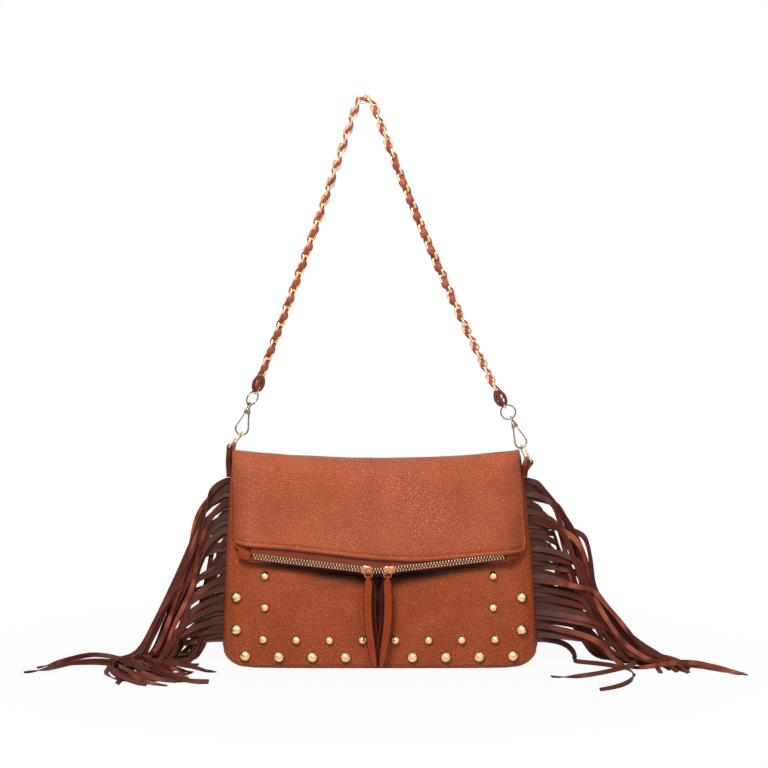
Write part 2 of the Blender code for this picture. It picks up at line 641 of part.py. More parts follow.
def make_studs(panel, materials):
    """Domes seated on the front panel, each square to the leather under it."""
    depsgraph = bpy.context.evaluated_depsgraph_get()
    surface = BVHTree.FromObject(panel, depsgraph)

    def stud(name, x, z, diameter):
        origin = placed((x, -0.2, z))
        hit, normal, _, _ = surface.ray_cast(origin, Vector((0, 1, 0)))
        normal = normal if normal.y < 0 else -normal
        first = normal.orthogonal().normalized()
        second = normal.cross(first)
        radius, rise = diameter / 2, diameter * STUD_RISE
        seat = hit + normal * (CLEARANCE + HAIRLINE)
        rings = [round_ring(seat + normal * (h * rise), first, second, r * radius, STUD_SIDES)
                 for h, r in STUD_RINGS]
        new_piece(name, loft(rings), materials["gold"], origin=seat, parent=bag_empty())

    for row, (count, inset, height), size in (("lower", LOWER_ROW, LARGE_STUD),
                                              ("upper", UPPER_ROW, SMALL_STUD)):
        reach = BASE_WIDTH / 2 - inset
        for i in range(count):
            stud(f"stud_{row}_{i + 1}", blend(-reach, reach, i / (count - 1)) + STUD_SHIFT, height, size)
    for side, sign in SIDES.items():
        for column, (inset, drops), size in (("outer", OUTER_COLUMN, LARGE_STUD),
                                             ("inner", INNER_COLUMN, SMALL_STUD)):
            x = sign * (BASE_WIDTH / 2 - inset) + STUD_SHIFT
            for i, drop in enumerate(drops):
                stud(f"stud_{column}_{side}_{i + 1}", x, ZIP_HEIGHT - drop, size)


def seam_x(height, sign):
    """The side seam's place across at a height."""
    centre, half = centre_and_half_width(height / POUCH_HEIGHT)
    return centre + sign * half


def make_fringe(side, sign, materials):
    """A band in the side seam and the strips cut from it, which fall outward to the ground."""
    edge = FRINGE_STANDOUT
    heights = [blend(FRINGE_FOOT, FRINGE_HEAD, i / 4) for i in range(5)]
    rings = []
    for z in heights:
        inside, outside = seam_x(z, sign) - sign * FRINGE_TUCK, seam_x(z, sign) + sign * edge
        rings.append([placed((x, y, z)) for x, y in
                      ((inside, -HEADER_THICKNESS / 2), (outside, -HEADER_THICKNESS / 2),
                       (outside, HEADER_THICKNESS / 2), (inside, HEADER_THICKNESS / 2))])
    solids = [loft(rings)]
    spacing = (FRINGE_HEAD - FRINGE_FOOT - STRIP_WIDTH) / (STRIP_COUNT - 1)
    for k in range(STRIP_COUNT):
        root_z = FRINGE_FOOT + STRIP_WIDTH / 2 + k * spacing + 0.0002
        share = ((3 * k) % STRIP_COUNT) / (STRIP_COUNT - 1)
        azimuth = blend(-FRINGE_FRONT, FRINGE_BACK, share)
        heading = Vector((sign * math.cos(azimuth), math.sin(azimuth), 0))
        reach = FRINGE_REACH * blend(0.86, 1.0, ((7 * k) % STRIP_COUNT) / (STRIP_COUNT - 1))
        reach *= blend(1.0, FRINGE_BACK_SHARE, max(0.0, azimuth / FRINGE_BACK))
        rest = STRIP_THICKNESS / 2 + 0.0004 * (k % 3)
        root = placed((seam_x(root_z, sign) + sign * (edge - 0.002), 0, root_z))
        floor_z = placed((0, 0, rest)).z
        out = Vector((sign, 0, 0))
        ends = [root, root + out * FRINGE_LEVEL_RUN + heading * (0.20 * reach),
                root + heading * (reach * 0.62), root + heading * reach]
        ends[2].z = ends[3].z = floor_z
        rings = []
        for i in range(9):
            t = i / 8
            a = [ends[j].lerp(ends[j + 1], t) for j in range(3)]
            b = [a[j].lerp(a[j + 1], t) for j in range(2)]
            point, tangent = b[0].lerp(b[1], t), (b[1] - b[0]).normalized()
            level = Vector((-tangent.y, tangent.x, 0))
            level = level.normalized() if level.length > 1e-6 else Vector((0, 1, 0))
            turn = min(1.0, t / 0.35)
            width = (Z * (1 - turn) + level * (sign * turn)).normalized()
            width = (width - tangent * width.dot(tangent)).normalized()
            if t > 0.9:
                width = level * sign
                tangent = Vector((tangent.x, tangent.y, 0)).normalized()
            thick = tangent.cross(width).normalized()
            rings.append(frame_ring(point, width, thick, STRIP_WIDTH / 2 * blend(1.0, 0.8, t),
                                    STRIP_THICKNESS / 2))
        solids.append(loft(rings))
    return join_solids(f"fringe_{side}", solids, materials["fringe"], parent=bag_empty())


def outermost_x(height, sign):
    """How far out the pouch reaches beside a height: its side seam, its fold or its flap."""
    flap_share = 1 + (POUCH_HEIGHT - height) / (POUCH_HEIGHT - ZIP_HEIGHT)
    edges = [centre_and_half_width(share) for share in (height / POUCH_HEIGHT, 1.0, flap_share)]
    return sign * max(half + sign * centre for centre, half in edges)


def hook_frame(side):
    """Hook seat, its length direction, the hook's outward side and its plane's normal."""
    fit, sign = HOOK_FIT[side], SIDES[side]
    seat = placed((FOLD_SHIFT + sign * (FOLD_WIDTH / 2 + fit["outward"]), -FOLD_RADIUS_SIDE,
                   POUCH_HEIGHT + fit["above"]))
    lean = math.radians(fit["hook_lean"])
    length = Vector((math.sin(lean), 0, math.cos(lean)))
    outward = Vector((sign * length.z, 0, -sign * length.x)).normalized()
    outward = Matrix.Rotation(math.radians(fit["turn"]), 3, length) @ outward
    return seat, length, outward, length.cross(outward).normalized()


def make_hook(side, materials):
    """Snap hook: a bent wire with its collar, and the gate that closes its outer side."""
    seat, length, outward, normal = hook_frame(side)
    radius = HOOK_WIRE / 2

    def at(g, w):
        return seat + outward * g + length * w

    top = Vector((HOOK_SHANK, HOOK_LENGTH + SHANK_SUNK))
    centre = Vector((0.0, HOOK_BEND))
    to_top = top - centre
    lean = math.atan2(to_top.y, to_top.x) + math.acos(HOOK_BEND / to_top.length)
    nose = HOOK_NOSE + 2 * math.pi
    path = [at(*top), at(*top.lerp(centre + Vector((math.cos(lean), math.sin(lean))) * HOOK_BEND, 0.5))]
    for i in range(13):
        turn = blend(lean, nose, i / 12)
        path.append(at(HOOK_BEND * math.cos(turn), centre.y + HOOK_BEND * math.sin(turn)))
    wire = planar_wire(path, normal, radius, 6)
    collar = [cornered_ring(at(0, HOOK_LENGTH + w), outward, normal, half, depth, 0.7)
              for w, half, depth in COLLAR_STATIONS]
    join_solids(f"hook_{side}", [wire, loft(collar)], materials["gold"], origin=seat)

    tip = centre + Vector((math.cos(nose), math.sin(nose))) * HOOK_BEND
    hinge = Vector((GATE_HINGE, HOOK_LENGTH - radius - 2 * CLEARANCE))
    start = tip + (hinge - tip).normalized() * (2 * CLEARANCE + HAIRLINE)
    gate_path = [at(*start), at(*start.lerp(hinge, 0.5)), at(*(hinge + Vector((0, radius * 0.6))))]
    gate = planar_wire(gate_path, normal, radius * GATE_SHARE, 6)
    new_piece(f"gate_{side}", gate, materials["gold"], origin=at(*hinge))


def strap_end(side, lean_of_leg):
    """Swivel eye, end ring and the point where the chain's first link sits, on a leg that leans so."""
    seat, length, _, _ = hook_frame(side)
    eye_foot = HOOK_LENGTH + COLLAR_HEIGHT + CLEARANCE
    eye = seat + length * (eye_foot + EYE_RISE + EYE_RADIUS + EYE_WIRE / 2)
    leg = Vector((math.sin(lean_of_leg), 0, math.cos(lean_of_leg)))
    ring = eye + leg * END_RING_RADIUS
    node = ring + leg * (END_RING_RADIUS - END_RING_WIRE / 2 - CLEARANCE)
    return dict(seat=seat, length=length, eye_foot=eye_foot, eye=eye, leg=leg, ring=ring, node=node)


def quadratic(a, b, c, count):
    """Points of the curve from a to c that starts and ends towards b."""
    return [a.lerp(b, i / count).lerp(b.lerp(c, i / count), i / count) for i in range(count + 1)]


def strap_route():
    """The strap's route from the left end ring over the top to the right end ring, and both ends."""
    crown = Vector((0, 0, -APEX_RADIUS))
    ends, leans = {}, dict(LEG_LEAN)
    for _ in range(6):
        for side in SIDES:
            end = strap_end(side, leans[side])
            chord = crown - end["node"]
            start = chord / 2 - Z * (2 * LEG_SAG[side])
            leans[side] = math.atan2(start.x, start.z)
            ends[side] = dict(end, chord=math.atan2(chord.x, chord.z))
    shoulders = {}
    for side, sign in SIDES.items():
        turn = ends[side]["chord"]
        shoulders[side] = crown + Vector((sign * math.cos(turn), 0, -sign * math.sin(turn))) * APEX_RADIUS
    legs = {side: quadratic(ends[side]["node"], (ends[side]["node"] + shoulders[side]) / 2
                            - Z * (2 * LEG_SAG[side]), shoulders[side], 24) for side in SIDES}
    first = math.atan2(shoulders["left"].z - crown.z, shoulders["left"].x - crown.x)
    last = math.atan2(shoulders["right"].z - crown.z, shoulders["right"].x - crown.x)
    if first < last:
        first += 2 * math.pi
    arc = [crown + Vector((math.cos(a), 0, math.sin(a))) * APEX_RADIUS
           for a in [blend(first, last, i / 12) for i in range(1, 12)]]
    return legs["left"] + arc + list(reversed(legs["right"])), ends


def step_along(route, pitch, count):
    """Chain nodes a fixed straight distance apart along a route, and how far short of its end they stop."""
    nodes, segment, share = [route[0]], 0, 0.0
    for _ in range(count):
        here = nodes[-1]
        while segment < len(route) - 1 and (route[segment + 1] - here).length < pitch:
            segment, share = segment + 1, 0.0
        if segment >= len(route) - 1:
            return nodes, -1.0
        a, b = route[segment], route[segment + 1]
        low, high = share, 1.0
        for _ in range(40):
            middle = (low + high) / 2
            low, high = (middle, high) if (a.lerp(b, middle) - here).length < pitch else (low, middle)
        share = low
        nodes.append(a.lerp(b, share))
    left = (route[segment + 1] - nodes[-1]).length + sum(
        (q - p).length for p, q in zip(route[segment + 1:], route[segment + 2:]))
    return nodes, left


def chain_nodes(route):
    """Nodes between links, with the pitch adjusted so that a whole number of links fits."""
    total = sum((b - a).length for a, b in zip(route, route[1:]))
    count = round(total / LINK_PITCH)
    low, high = total / count * 0.95, total / count * 1.02
    for _ in range(50):
        pitch = (low + high) / 2
        _, left = step_along(route, pitch, count)
        low, high = (low, pitch) if left < 0 else (pitch, high)
    return step_along(route, low, count)[0], low


def roll_frame(direction, share, total_roll):
    """Front-facing and in-plane directions of the strap, turned slowly along its length."""
    front = Vector((0, -1, 0))
    aside = front.cross(direction).normalized()
    turn = total_roll * share
    return front * math.cos(turn) + aside * math.sin(turn), aside * math.cos(turn) - front * math.sin(turn)


def make_strap(materials):
    """The chain, the lace through it, and the ring and swivel eye at each end."""
    route, ends = strap_route()
    nodes, pitch = chain_nodes(route)
    count = len(nodes) - 1
    total_roll = STRAP_TWIST if (count - 1) % 2 == 0 else -STRAP_TWIST
    end_radius = (LINK_WIDTH - LINK_WIRE) / 2
    seated = (pitch + LINK_WIRE - CLEARANCE / 2) / 2
    parity = [[], []]
    planes = []
    for i, (a, b) in enumerate(zip(nodes, nodes[1:])):
        direction = (b - a).normalized()
        front, aside = roll_frame(direction, i / (count - 1), total_roll)
        normal = (front + aside if i % 2 == 0 else front - aside).normalized()
        across = direction.cross(normal).normalized()
        planes.append((normal, across))
        centre = (a + b) / 2
        path = []
        for end_sign in (1, -1):
            for degrees in (-72, -24, 24, 72):
                turn = math.radians(degrees)
                reach = seated - end_radius + end_radius * math.cos(turn)
                path.append(centre + direction * (end_sign * reach)
                            + across * (end_sign * end_radius * math.sin(turn)))
        parity[i % 2].append(planar_wire(path, normal, LINK_WIRE / 2, 4, closed=True))
    for group in parity:
        whole = group[0]
        for link in group[1:]:
            mesh = bpy.data.meshes.new("link")
            link.to_mesh(mesh)
            link.free()
            whole.from_mesh(mesh)
            bpy.data.meshes.remove(mesh)
    join_solids("strap_chain", [parity[0][0], parity[1][0]], materials["gold"], smooth=False)

    swing = (LINK_WIRE + LACE_WIDTH + LACE_THICKNESS) / 2 + 3 * CLEARANCE
    rings = []

    def lace_ring(point, direction, aside):
        thick = aside.cross(direction).normalized()
        rings.append(frame_ring(point, aside, thick, LACE_WIDTH / 2, LACE_THICKNESS / 2))

    directions = [(b - a).normalized() for a, b in zip(nodes, nodes[1:])]
    lace_points = []
    for j in range(1, count):
        direction = (directions[j - 1] + directions[j]).normalized()
        front, aside = roll_frame(direction, (j - 0.5) / (count - 1), total_roll)
        offset = front * (swing * (1 if j % 2 else -1))
        for step in (-directions[j - 1], directions[j]):
            lace_points.append((nodes[j] + step * (0.15 * pitch) + offset, aside))
    first_mid, last_mid = (nodes[0] + nodes[1]) / 2, (nodes[-2] + nodes[-1]) / 2
    lace_points.insert(0, (first_mid.lerp(lace_points[0][0], 0.25), lace_points[0][1]))
    lace_points.append((last_mid.lerp(lace_points[-1][0], 0.25), lace_points[-1][1]))
    for i, (point, aside) in enumerate(lace_points):
        before = lace_points[max(i - 1, 0)][0]
        after = lace_points[min(i + 1, len(lace_points) - 1)][0]
        tangent = (after - before).normalized()
        aside = (aside - tangent * aside.dot(tangent)).normalized()
        lace_ring(point, tangent, aside)
    new_piece("strap_lace", loft(rings), materials["lace"], smooth=False)

    for side, end in ends.items():
        normal = planes[0][0] if side == "left" else planes[-1][0]
        ring_normal = end["leg"].cross(normal).normalized()
        ring = torus(end["ring"], end["leg"], normal, END_RING_RADIUS, END_RING_WIRE)
        new_piece(f"end_ring_{side}", ring, materials["gold"], origin=end["ring"])
        eye = torus(end["eye"], end["leg"], ring_normal, EYE_RADIUS, EYE_WIRE, around=14)
        foot = end["seat"] + end["length"] * end["eye_foot"]
        first = Vector((0, 1, 0))
        second = end["length"].cross(first).normalized()
        stem = [round_ring(foot + end["length"] * h, first, second, r, 8) for h, r in EYE_STEM]
        join_solids(f"swivel_eye_{side}", [loft(stem), eye], materials["gold"], origin=end["eye"])


def make_d_ring(side, materials):
    """D-ring through the hook, with its straight bar in the leather tab."""
    seat, _, _, _ = hook_frame(side)
    lean = math.radians(HOOK_FIT[side]["ring_lean"]) * -SIDES[side]
    up = Vector((math.sin(lean), 0, math.cos(lean)))
    level = Vector((0, 1, 0))
    rise = (HOOK_WIRE + D_RING_WIRE) / 2 + 2 * CLEARANCE
    bar = seat - up * (D_RING_HEIGHT - rise)
    centre = bar + up * (D_RING_HEIGHT - D_RING_RADIUS)
    path = [bar + level * (s * (D_RING_RADIUS - D_RING_CORNER)) for s in (-1, 1)]
    path += [bar + level * (D_RING_RADIUS - HAIRLINE) + up * D_RING_CORNER]
    for i in range(13):
        turn = math.pi * i / 12
        path.append(centre + (level * math.cos(turn) + up * math.sin(turn)) * D_RING_RADIUS)
    path += [bar - level * (D_RING_RADIUS - HAIRLINE) + up * D_RING_CORNER]
    ring = planar_wire(path, level.cross(up).normalized(), D_RING_WIRE / 2, 6, closed=True)
    new_piece(f"d_ring_{side}", ring, materials["gold"], origin=bar, parent=bag_empty())
    return bar


def make_tab(side, bar, materials):
    """Leather tab folded round the D-ring's bar, its two plies lying along the side seam."""
    sign = SIDES[side]
    loop = D_RING_WIRE / 2 + 1.5 * CLEARANCE + TAB_PLY / 2
    bar_height = (bar - POUCH_TO_STRAP).z
    tails = []
    for share in (1.0, 0.7, 0.45):
        height = blend(bar_height - loop, TAB_FOOT, share)
        face = placed((outermost_x(height, sign) + sign * (TAB_STANDOFF + LEATHER / 2), 0, height))
        face.y = bar.y
        tails.append([face + Vector((sign * offset, 0, 0))
                      for offset in (TAB_PLY / 2, TAB_PLY * 1.5 + CLEARANCE)])
    away = (bar - (tails[-1][0] + tails[-1][1]) / 2).normalized()
    aside = Vector((away.z, 0, -away.x)) * sign
    path = [outer for _, outer in tails]
    for degrees in range(-20, 201, 28):
        turn = math.radians(degrees)
        path.append(bar + aside * (loop * math.cos(turn)) + away * (loop * math.sin(turn)))
    path += [inner for inner, _ in reversed(tails)]
    strap = folded_strap(path, Vector((0, 1, 0)), [TAB_WIDTH] * len(path), TAB_PLY)
    new_piece(f"tab_{side}", strap, materials["tan"], origin=bar, parent=bag_empty())


def bag_empty():
    """The empty on the bag's swing axis, which carries everything below the hooks."""
    return bpy.data.objects["bag_hinge"]


def main():
    """Builds the whole bag."""
    for thing in list(bpy.data.objects):
        bpy.data.objects.remove(thing)
    materials = make_materials()
    seats = [hook_frame(side)[0] for side in SIDES]
    new_empty("bag_hinge", (seats[0] + seats[1]) / 2)
    back = make_panel("back_panel", materials["tan"], outer=True)
    front = make_panel("front_panel", materials["tan"], outer=False)
    for panel in (back, front):
        panel.parent = bag_empty()
        panel.location = -bag_empty().location
    bpy.context.view_layer.update()

    lip = ROW_GAP / 2 + TOOTH_REACH + TOOTH_BAR + CLEARANCE
    zip_pieces = [
        make_tape("zip_tape_upper", materials["tape"], lip, FLAP_EDGE_ABOVE_ZIP + TAPE_OVERLAP),
        make_tape("zip_tape_lower", materials["tape"], LOWER_TAPE_EDGE, -lip),
        make_teeth("zip_teeth_upper", materials["gold"], 1, 0.0),
        make_teeth("zip_teeth_lower", materials["gold"], -1, TOOTH_PITCH / 2),
    ]
    for side, sign in SIDES.items():
        zip_pieces.append(make_end_cap(f"zip_end_{side}", materials["tan"], sign))
    for piece in zip_pieces:
        piece.parent = bag_empty()
        piece.location = -bag_empty().location
    for side, sign in SIDES.items():
        make_slider(f"slider_{side}", materials["rose"], sign)
        make_pull(side, sign, materials)
    make_studs(front, materials)
    for side, sign in SIDES.items():
        make_fringe(side, sign, materials)
        make_hook(side, materials)
        make_tab(side, make_d_ring(side, materials), materials)
    make_strap(materials)


main()
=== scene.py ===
"""Fold-over leather shoulder bag with side fringe, dome studs and a laced chain strap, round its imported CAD.

Everything is in metres, +Z up, with the front towards -Y and the origin at the top of the strap. The pouch's
shapes are worked out in its own frame, base at Z = 0 and side seams at Y = 0, and moved by `placed`.
"""

import sys
import logging
import math
import random
from abc import ABC, abstractmethod
from collections.abc import Callable, Iterable, Sequence
from dataclasses import dataclass, field
from enum import Enum

import bmesh
import bpy
import numpy as np
from bpy.types import Material, Mesh, Node, NodeSocket, NodeTree, Object
from mathutils import Matrix, Vector, noise
from mathutils.bvhtree import BVHTree


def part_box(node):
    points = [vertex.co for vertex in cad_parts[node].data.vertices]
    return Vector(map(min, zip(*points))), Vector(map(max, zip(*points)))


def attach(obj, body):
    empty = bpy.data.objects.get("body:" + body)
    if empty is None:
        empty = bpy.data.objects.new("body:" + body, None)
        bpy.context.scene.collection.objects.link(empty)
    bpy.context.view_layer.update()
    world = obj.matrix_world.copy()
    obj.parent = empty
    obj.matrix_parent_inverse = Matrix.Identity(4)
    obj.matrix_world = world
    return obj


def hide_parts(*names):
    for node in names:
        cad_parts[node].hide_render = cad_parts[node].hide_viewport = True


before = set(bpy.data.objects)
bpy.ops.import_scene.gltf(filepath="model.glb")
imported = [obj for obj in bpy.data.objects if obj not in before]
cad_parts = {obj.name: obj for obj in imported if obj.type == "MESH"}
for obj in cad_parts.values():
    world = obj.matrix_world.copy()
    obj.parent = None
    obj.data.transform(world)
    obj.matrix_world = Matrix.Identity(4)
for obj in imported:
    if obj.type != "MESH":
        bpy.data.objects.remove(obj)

LOG = logging.getLogger("bag")
POUCH_TO_STRAP = Vector((0.0147, 0.006, -0.5655))
UP = Vector((0.0, 0.0, 1.0))
FRONT = Vector((0.0, -1.0, 0.0))
ACROSS = Vector((1.0, 0.0, 0.0))
# Pairs of a place and the value there, in rising order
Table = tuple[tuple[float, float], ...]
Fold = tuple[float, float, float]
# Edges that turn more than this stay sharp under smooth shading
SHARP_ANGLE = math.radians(50)
# What the twelve points of a section of `strap_mesh` carry: paint on the edges, and bare flesh on the side facing out
PAINTED_SECTION = (1.0, 1.0, 0.6, 0.0, 0.0, 0.6, 1.0, 1.0, 0.6, 0.0, 0.0, 0.6)
FLESH_SECTION = (0.0, 0.4, 1.0, 1.0, 1.0, 1.0, 0.4, 0.0, 0.0, 0.0, 0.0, 0.0)
# Between a wire and the leather that is folded round it
FOLD_GAP = 0.00045


class Side(Enum):
    """The left and right of the bag, as someone facing its front sees them."""

    LEFT = -1
    RIGHT = 1

    @property
    def label(self) -> str:
        """The side's word in the names of CAD nodes and bodies."""
        return self.name.lower()


class Finish(Enum):
    """Every finish on the bag; the value is its material slot in the record, or a word that `slot` looks up."""

    BODY_LEATHER = "tan_leather"
    PULL_LEATHER = "painted_edge_leather"
    FRINGE_LEATHER = "fringe_leather"
    LACE_LEATHER = "lace_leather"
    ZIP_TAPE = "zip_tape"
    PALE_GOLD = "pale_gold"
    ROSE_GOLD = "rose_gold"
    # A darker copy of the body leather for the front panel, its darkness painted shade
    FRONT_LEATHER = "front"
    HOOK_GOLD = "hook"
    THREAD = "thread"
    WELT = "welt"

    @property
    def slot(self) -> str:
        """The material slot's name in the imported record."""
        stand_ins = {"front": "tan_leather", "thread": "tan_leather", "welt": "painted_edge_leather",
                     "hook": "pale_gold"}
        return stand_ins.get(self.value, self.value)


def placed(x: float, y: float, z: float) -> Vector:
    """A point of the pouch's frame in the strap's frame."""
    return Vector((x, y, z)) + POUCH_TO_STRAP


def mix(a: float, b: float, share: float) -> float:
    """The value a share of the way from a to b."""
    return a + (b - a) * share


def ease(value: float, low: float, high: float) -> float:
    """0 below low, 1 above high, and a smooth rise between."""
    share = min(1.0, max(0.0, (value - low) / (high - low)))
    return share * share * (3 - 2 * share)


def bell(value: float, centre: float, width: float) -> float:
    """A smooth bump of height 1 at centre."""
    return math.exp(-(((value - centre) / width) ** 2))


def squared(value: float, power: float) -> float:
    """A sine or cosine raised to a power with its sign kept, which squares a circle off where that is below 1."""
    return math.copysign(abs(value) ** power, value)


def table_value(table: Table, at: float) -> float:
    """The value of a table of pairs, read between its rows."""
    return float(np.interp(at, *zip(*table)))


def tangent(points: Sequence[Vector], i: int) -> Vector:
    """The direction of a line of points at one of them."""
    return (points[min(i + 1, len(points) - 1)] - points[max(i - 1, 0)]).normalized()


def smooth_points(points: Sequence[Vector], steps: int) -> list[Vector]:
    """Points on a smooth curve through the given ones.

    Args:
        points: The points to pass through.
        steps: New points for each span.

    Returns:
        The finer list, with both ends kept.
    """
    fine = []
    for i in range(len(points) - 1):
        a, b, c, d = (points[max(0, min(len(points) - 1, k))] for k in (i - 1, i, i + 1, i + 2))
        for step in range(steps):
            t = step / steps
            fine.append(0.5 * ((2 * b) + (c - a) * t + (2 * a - 5 * b + 4 * c - d) * t * t
                               + (3 * b - a - 3 * c + d) * t ** 3))
    return fine + [points[-1].copy()]


def loft(rings: Sequence[Sequence[Vector]], closed_path: bool = False) -> Mesh:
    """A closed mesh through rings of points.

    Args:
        rings: Rings of the same length, in order along the shape.
        closed_path: Whether the last ring joins the first.

    Returns:
        The mesh, facing outwards, capped at both ends unless the path is closed.
    """
    bm = bmesh.new()
    rows = [[bm.verts.new(p) for p in ring] for ring in rings]
    size = len(rings[0])
    for low, high in list(zip(rows, rows[1:])) + ([(rows[-1], rows[0])] if closed_path else []):
        for i in range(size):
            j = (i + 1) % size
            bm.faces.new((low[i], low[j], high[j], high[i]))
    if not closed_path:
        bm.faces.new(list(reversed(rows[0])))
        bm.faces.new(rows[-1])
    return mesh_of(bm)


def new_object(name: str, data: bpy.types.ID) -> Object:
    """An object in the scene, with the given mesh, lamp or camera."""
    made = bpy.data.objects.new(name, data)
    bpy.context.scene.collection.objects.link(made)
    return made


def mesh_of(bm: bmesh.types.BMesh) -> Mesh:
    """The bmesh as a smooth-shaded mesh that faces outwards; the bmesh is freed."""
    bmesh.ops.recalc_face_normals(bm, faces=bm.faces)
    mesh = bpy.data.meshes.new("made")
    bm.to_mesh(mesh)
    bm.free()
    mesh.shade_smooth()
    mesh.set_sharp_from_angle(angle=SHARP_ANGLE)
    return mesh


def joined(meshes: Iterable[Mesh]) -> Mesh:
    """Several meshes as one; the given ones are removed."""
    bm = bmesh.new()
    for mesh in meshes:
        bm.from_mesh(mesh)
        bpy.data.meshes.remove(mesh)
    whole = bpy.data.meshes.new("made")
    bm.to_mesh(whole)
    bm.free()
    return whole


def tube(path: Sequence[Vector], normal: Vector, radius: float, sides: int = 12,
         closed: bool = False) -> Mesh:
    """A round wire along points that lie in one plane.

    Args:
        path: The wire's centreline.
        normal: The plane's normal.
        radius: The wire's radius.
        sides: Points round the wire.
        closed: Whether the wire is a ring.

    Returns:
        The closed mesh.
    """
    rings, count = [], len(path)
    for i, point in enumerate(path):
        before = path[i - 1] if closed or i else path[0]
        after = path[(i + 1) % count] if closed or i < count - 1 else path[-1]
        rings.append(circle(point, (after - before).normalized().cross(normal).normalized(), normal, radius, sides))
    return loft(rings, closed_path=closed)


def turns(count: int) -> list[float]:
    """Angles evenly round a circle."""
    return [2 * math.pi * k / count for k in range(count)]


def arc(centre: Vector, first: Vector, second: Vector, radius: float, angles: Iterable[float]) -> list[Vector]:
    """Points at angles that turn from the first direction towards the second."""
    return [centre + first * (radius * math.cos(turn)) + second * (radius * math.sin(turn)) for turn in angles]


def circle(centre: Vector, first: Vector, second: Vector, radius: float, count: int) -> list[Vector]:
    """Points of a whole circle that turns from the first direction towards the second."""
    return arc(centre, first, second, radius, turns(count))


def leaning(turn: float) -> Vector:
    """The upward direction that leans towards +X by an angle."""
    return Vector((math.sin(turn), 0, math.cos(turn)))


def strap_mesh(path: Sequence[Vector], wides: Sequence[Vector], widths: Sequence[float],
               thicknesses: Sequence[float], crown: float) -> Mesh:
    """A leather strap with rounded edges swept along points, with a value of each kind for each point.

    Each section has twelve points, six on the side that faces out and then six on the other.

    Args:
        path: The strap's middle.
        wides: The directions of its width; only the part that is square to the path counts.
        widths: Its whole widths.
        thicknesses: Its whole thicknesses.
        crown: How far the middle of each face stands proud.

    Returns:
        The closed mesh.
    """
    rings = []
    for i, (point, wide, width, thickness) in enumerate(zip(path, wides, widths, thicknesses)):
        along, a, b = tangent(path, i), width / 2, thickness / 2
        wide = (wide - along * wide.dot(along)).normalized()
        thick = along.cross(wide).normalized()
        outline = [(a, -b * 0.5), (a, b * 0.5), (a - b * 0.6, b), (a * 0.4, b + crown), (-a * 0.4, b + crown),
                   (-a + b * 0.6, b), (-a, b * 0.5), (-a, -b * 0.5), (-a + b * 0.6, -b), (-a * 0.4, -b - crown),
                   (a * 0.4, -b - crown), (a - b * 0.6, -b)]
        rings.append([point + wide * x + thick * y for x, y in outline])
    return loft(rings)


def mark(mesh: Mesh, name: str, values: Sequence[float]) -> None:
    """Stores one number a vertex under a name that a material reads."""
    attribute = mesh.attributes.get(name) or mesh.attributes.new(name, "FLOAT", "POINT")
    attribute.data.foreach_set("value", np.asarray(values, np.float32))


def polylines(lines: Sequence[Sequence[Vector]], vectors: dict[str, Sequence[Vector]],
              numbers: dict[str, Sequence[float]] | None = None) -> Mesh:
    """Lines of points as a mesh of edges that carries named values, for a Geometry Nodes tree to read.

    Args:
        lines: The lines; a line of one point is a lone point.
        vectors: One vector a point, by attribute name.
        numbers: One number a point, by attribute name.

    Returns:
        The mesh.
    """
    points, edges = [], []
    for line in lines:
        edges += [(len(points) + i, len(points) + i + 1) for i in range(len(line) - 1)]
        points += line
    mesh = bpy.data.meshes.new("lines")
    mesh.from_pydata([tuple(p) for p in points], edges, [])
    for name, values in vectors.items():
        flat = [number for value in values for number in value]
        mesh.attributes.new(name, "FLOAT_VECTOR", "POINT").data.foreach_set("vector", flat)
    for name, values in (numbers or {}).items():
        mesh.attributes.new(name, "FLOAT", "POINT").data.foreach_set("value", list(values))
    return mesh


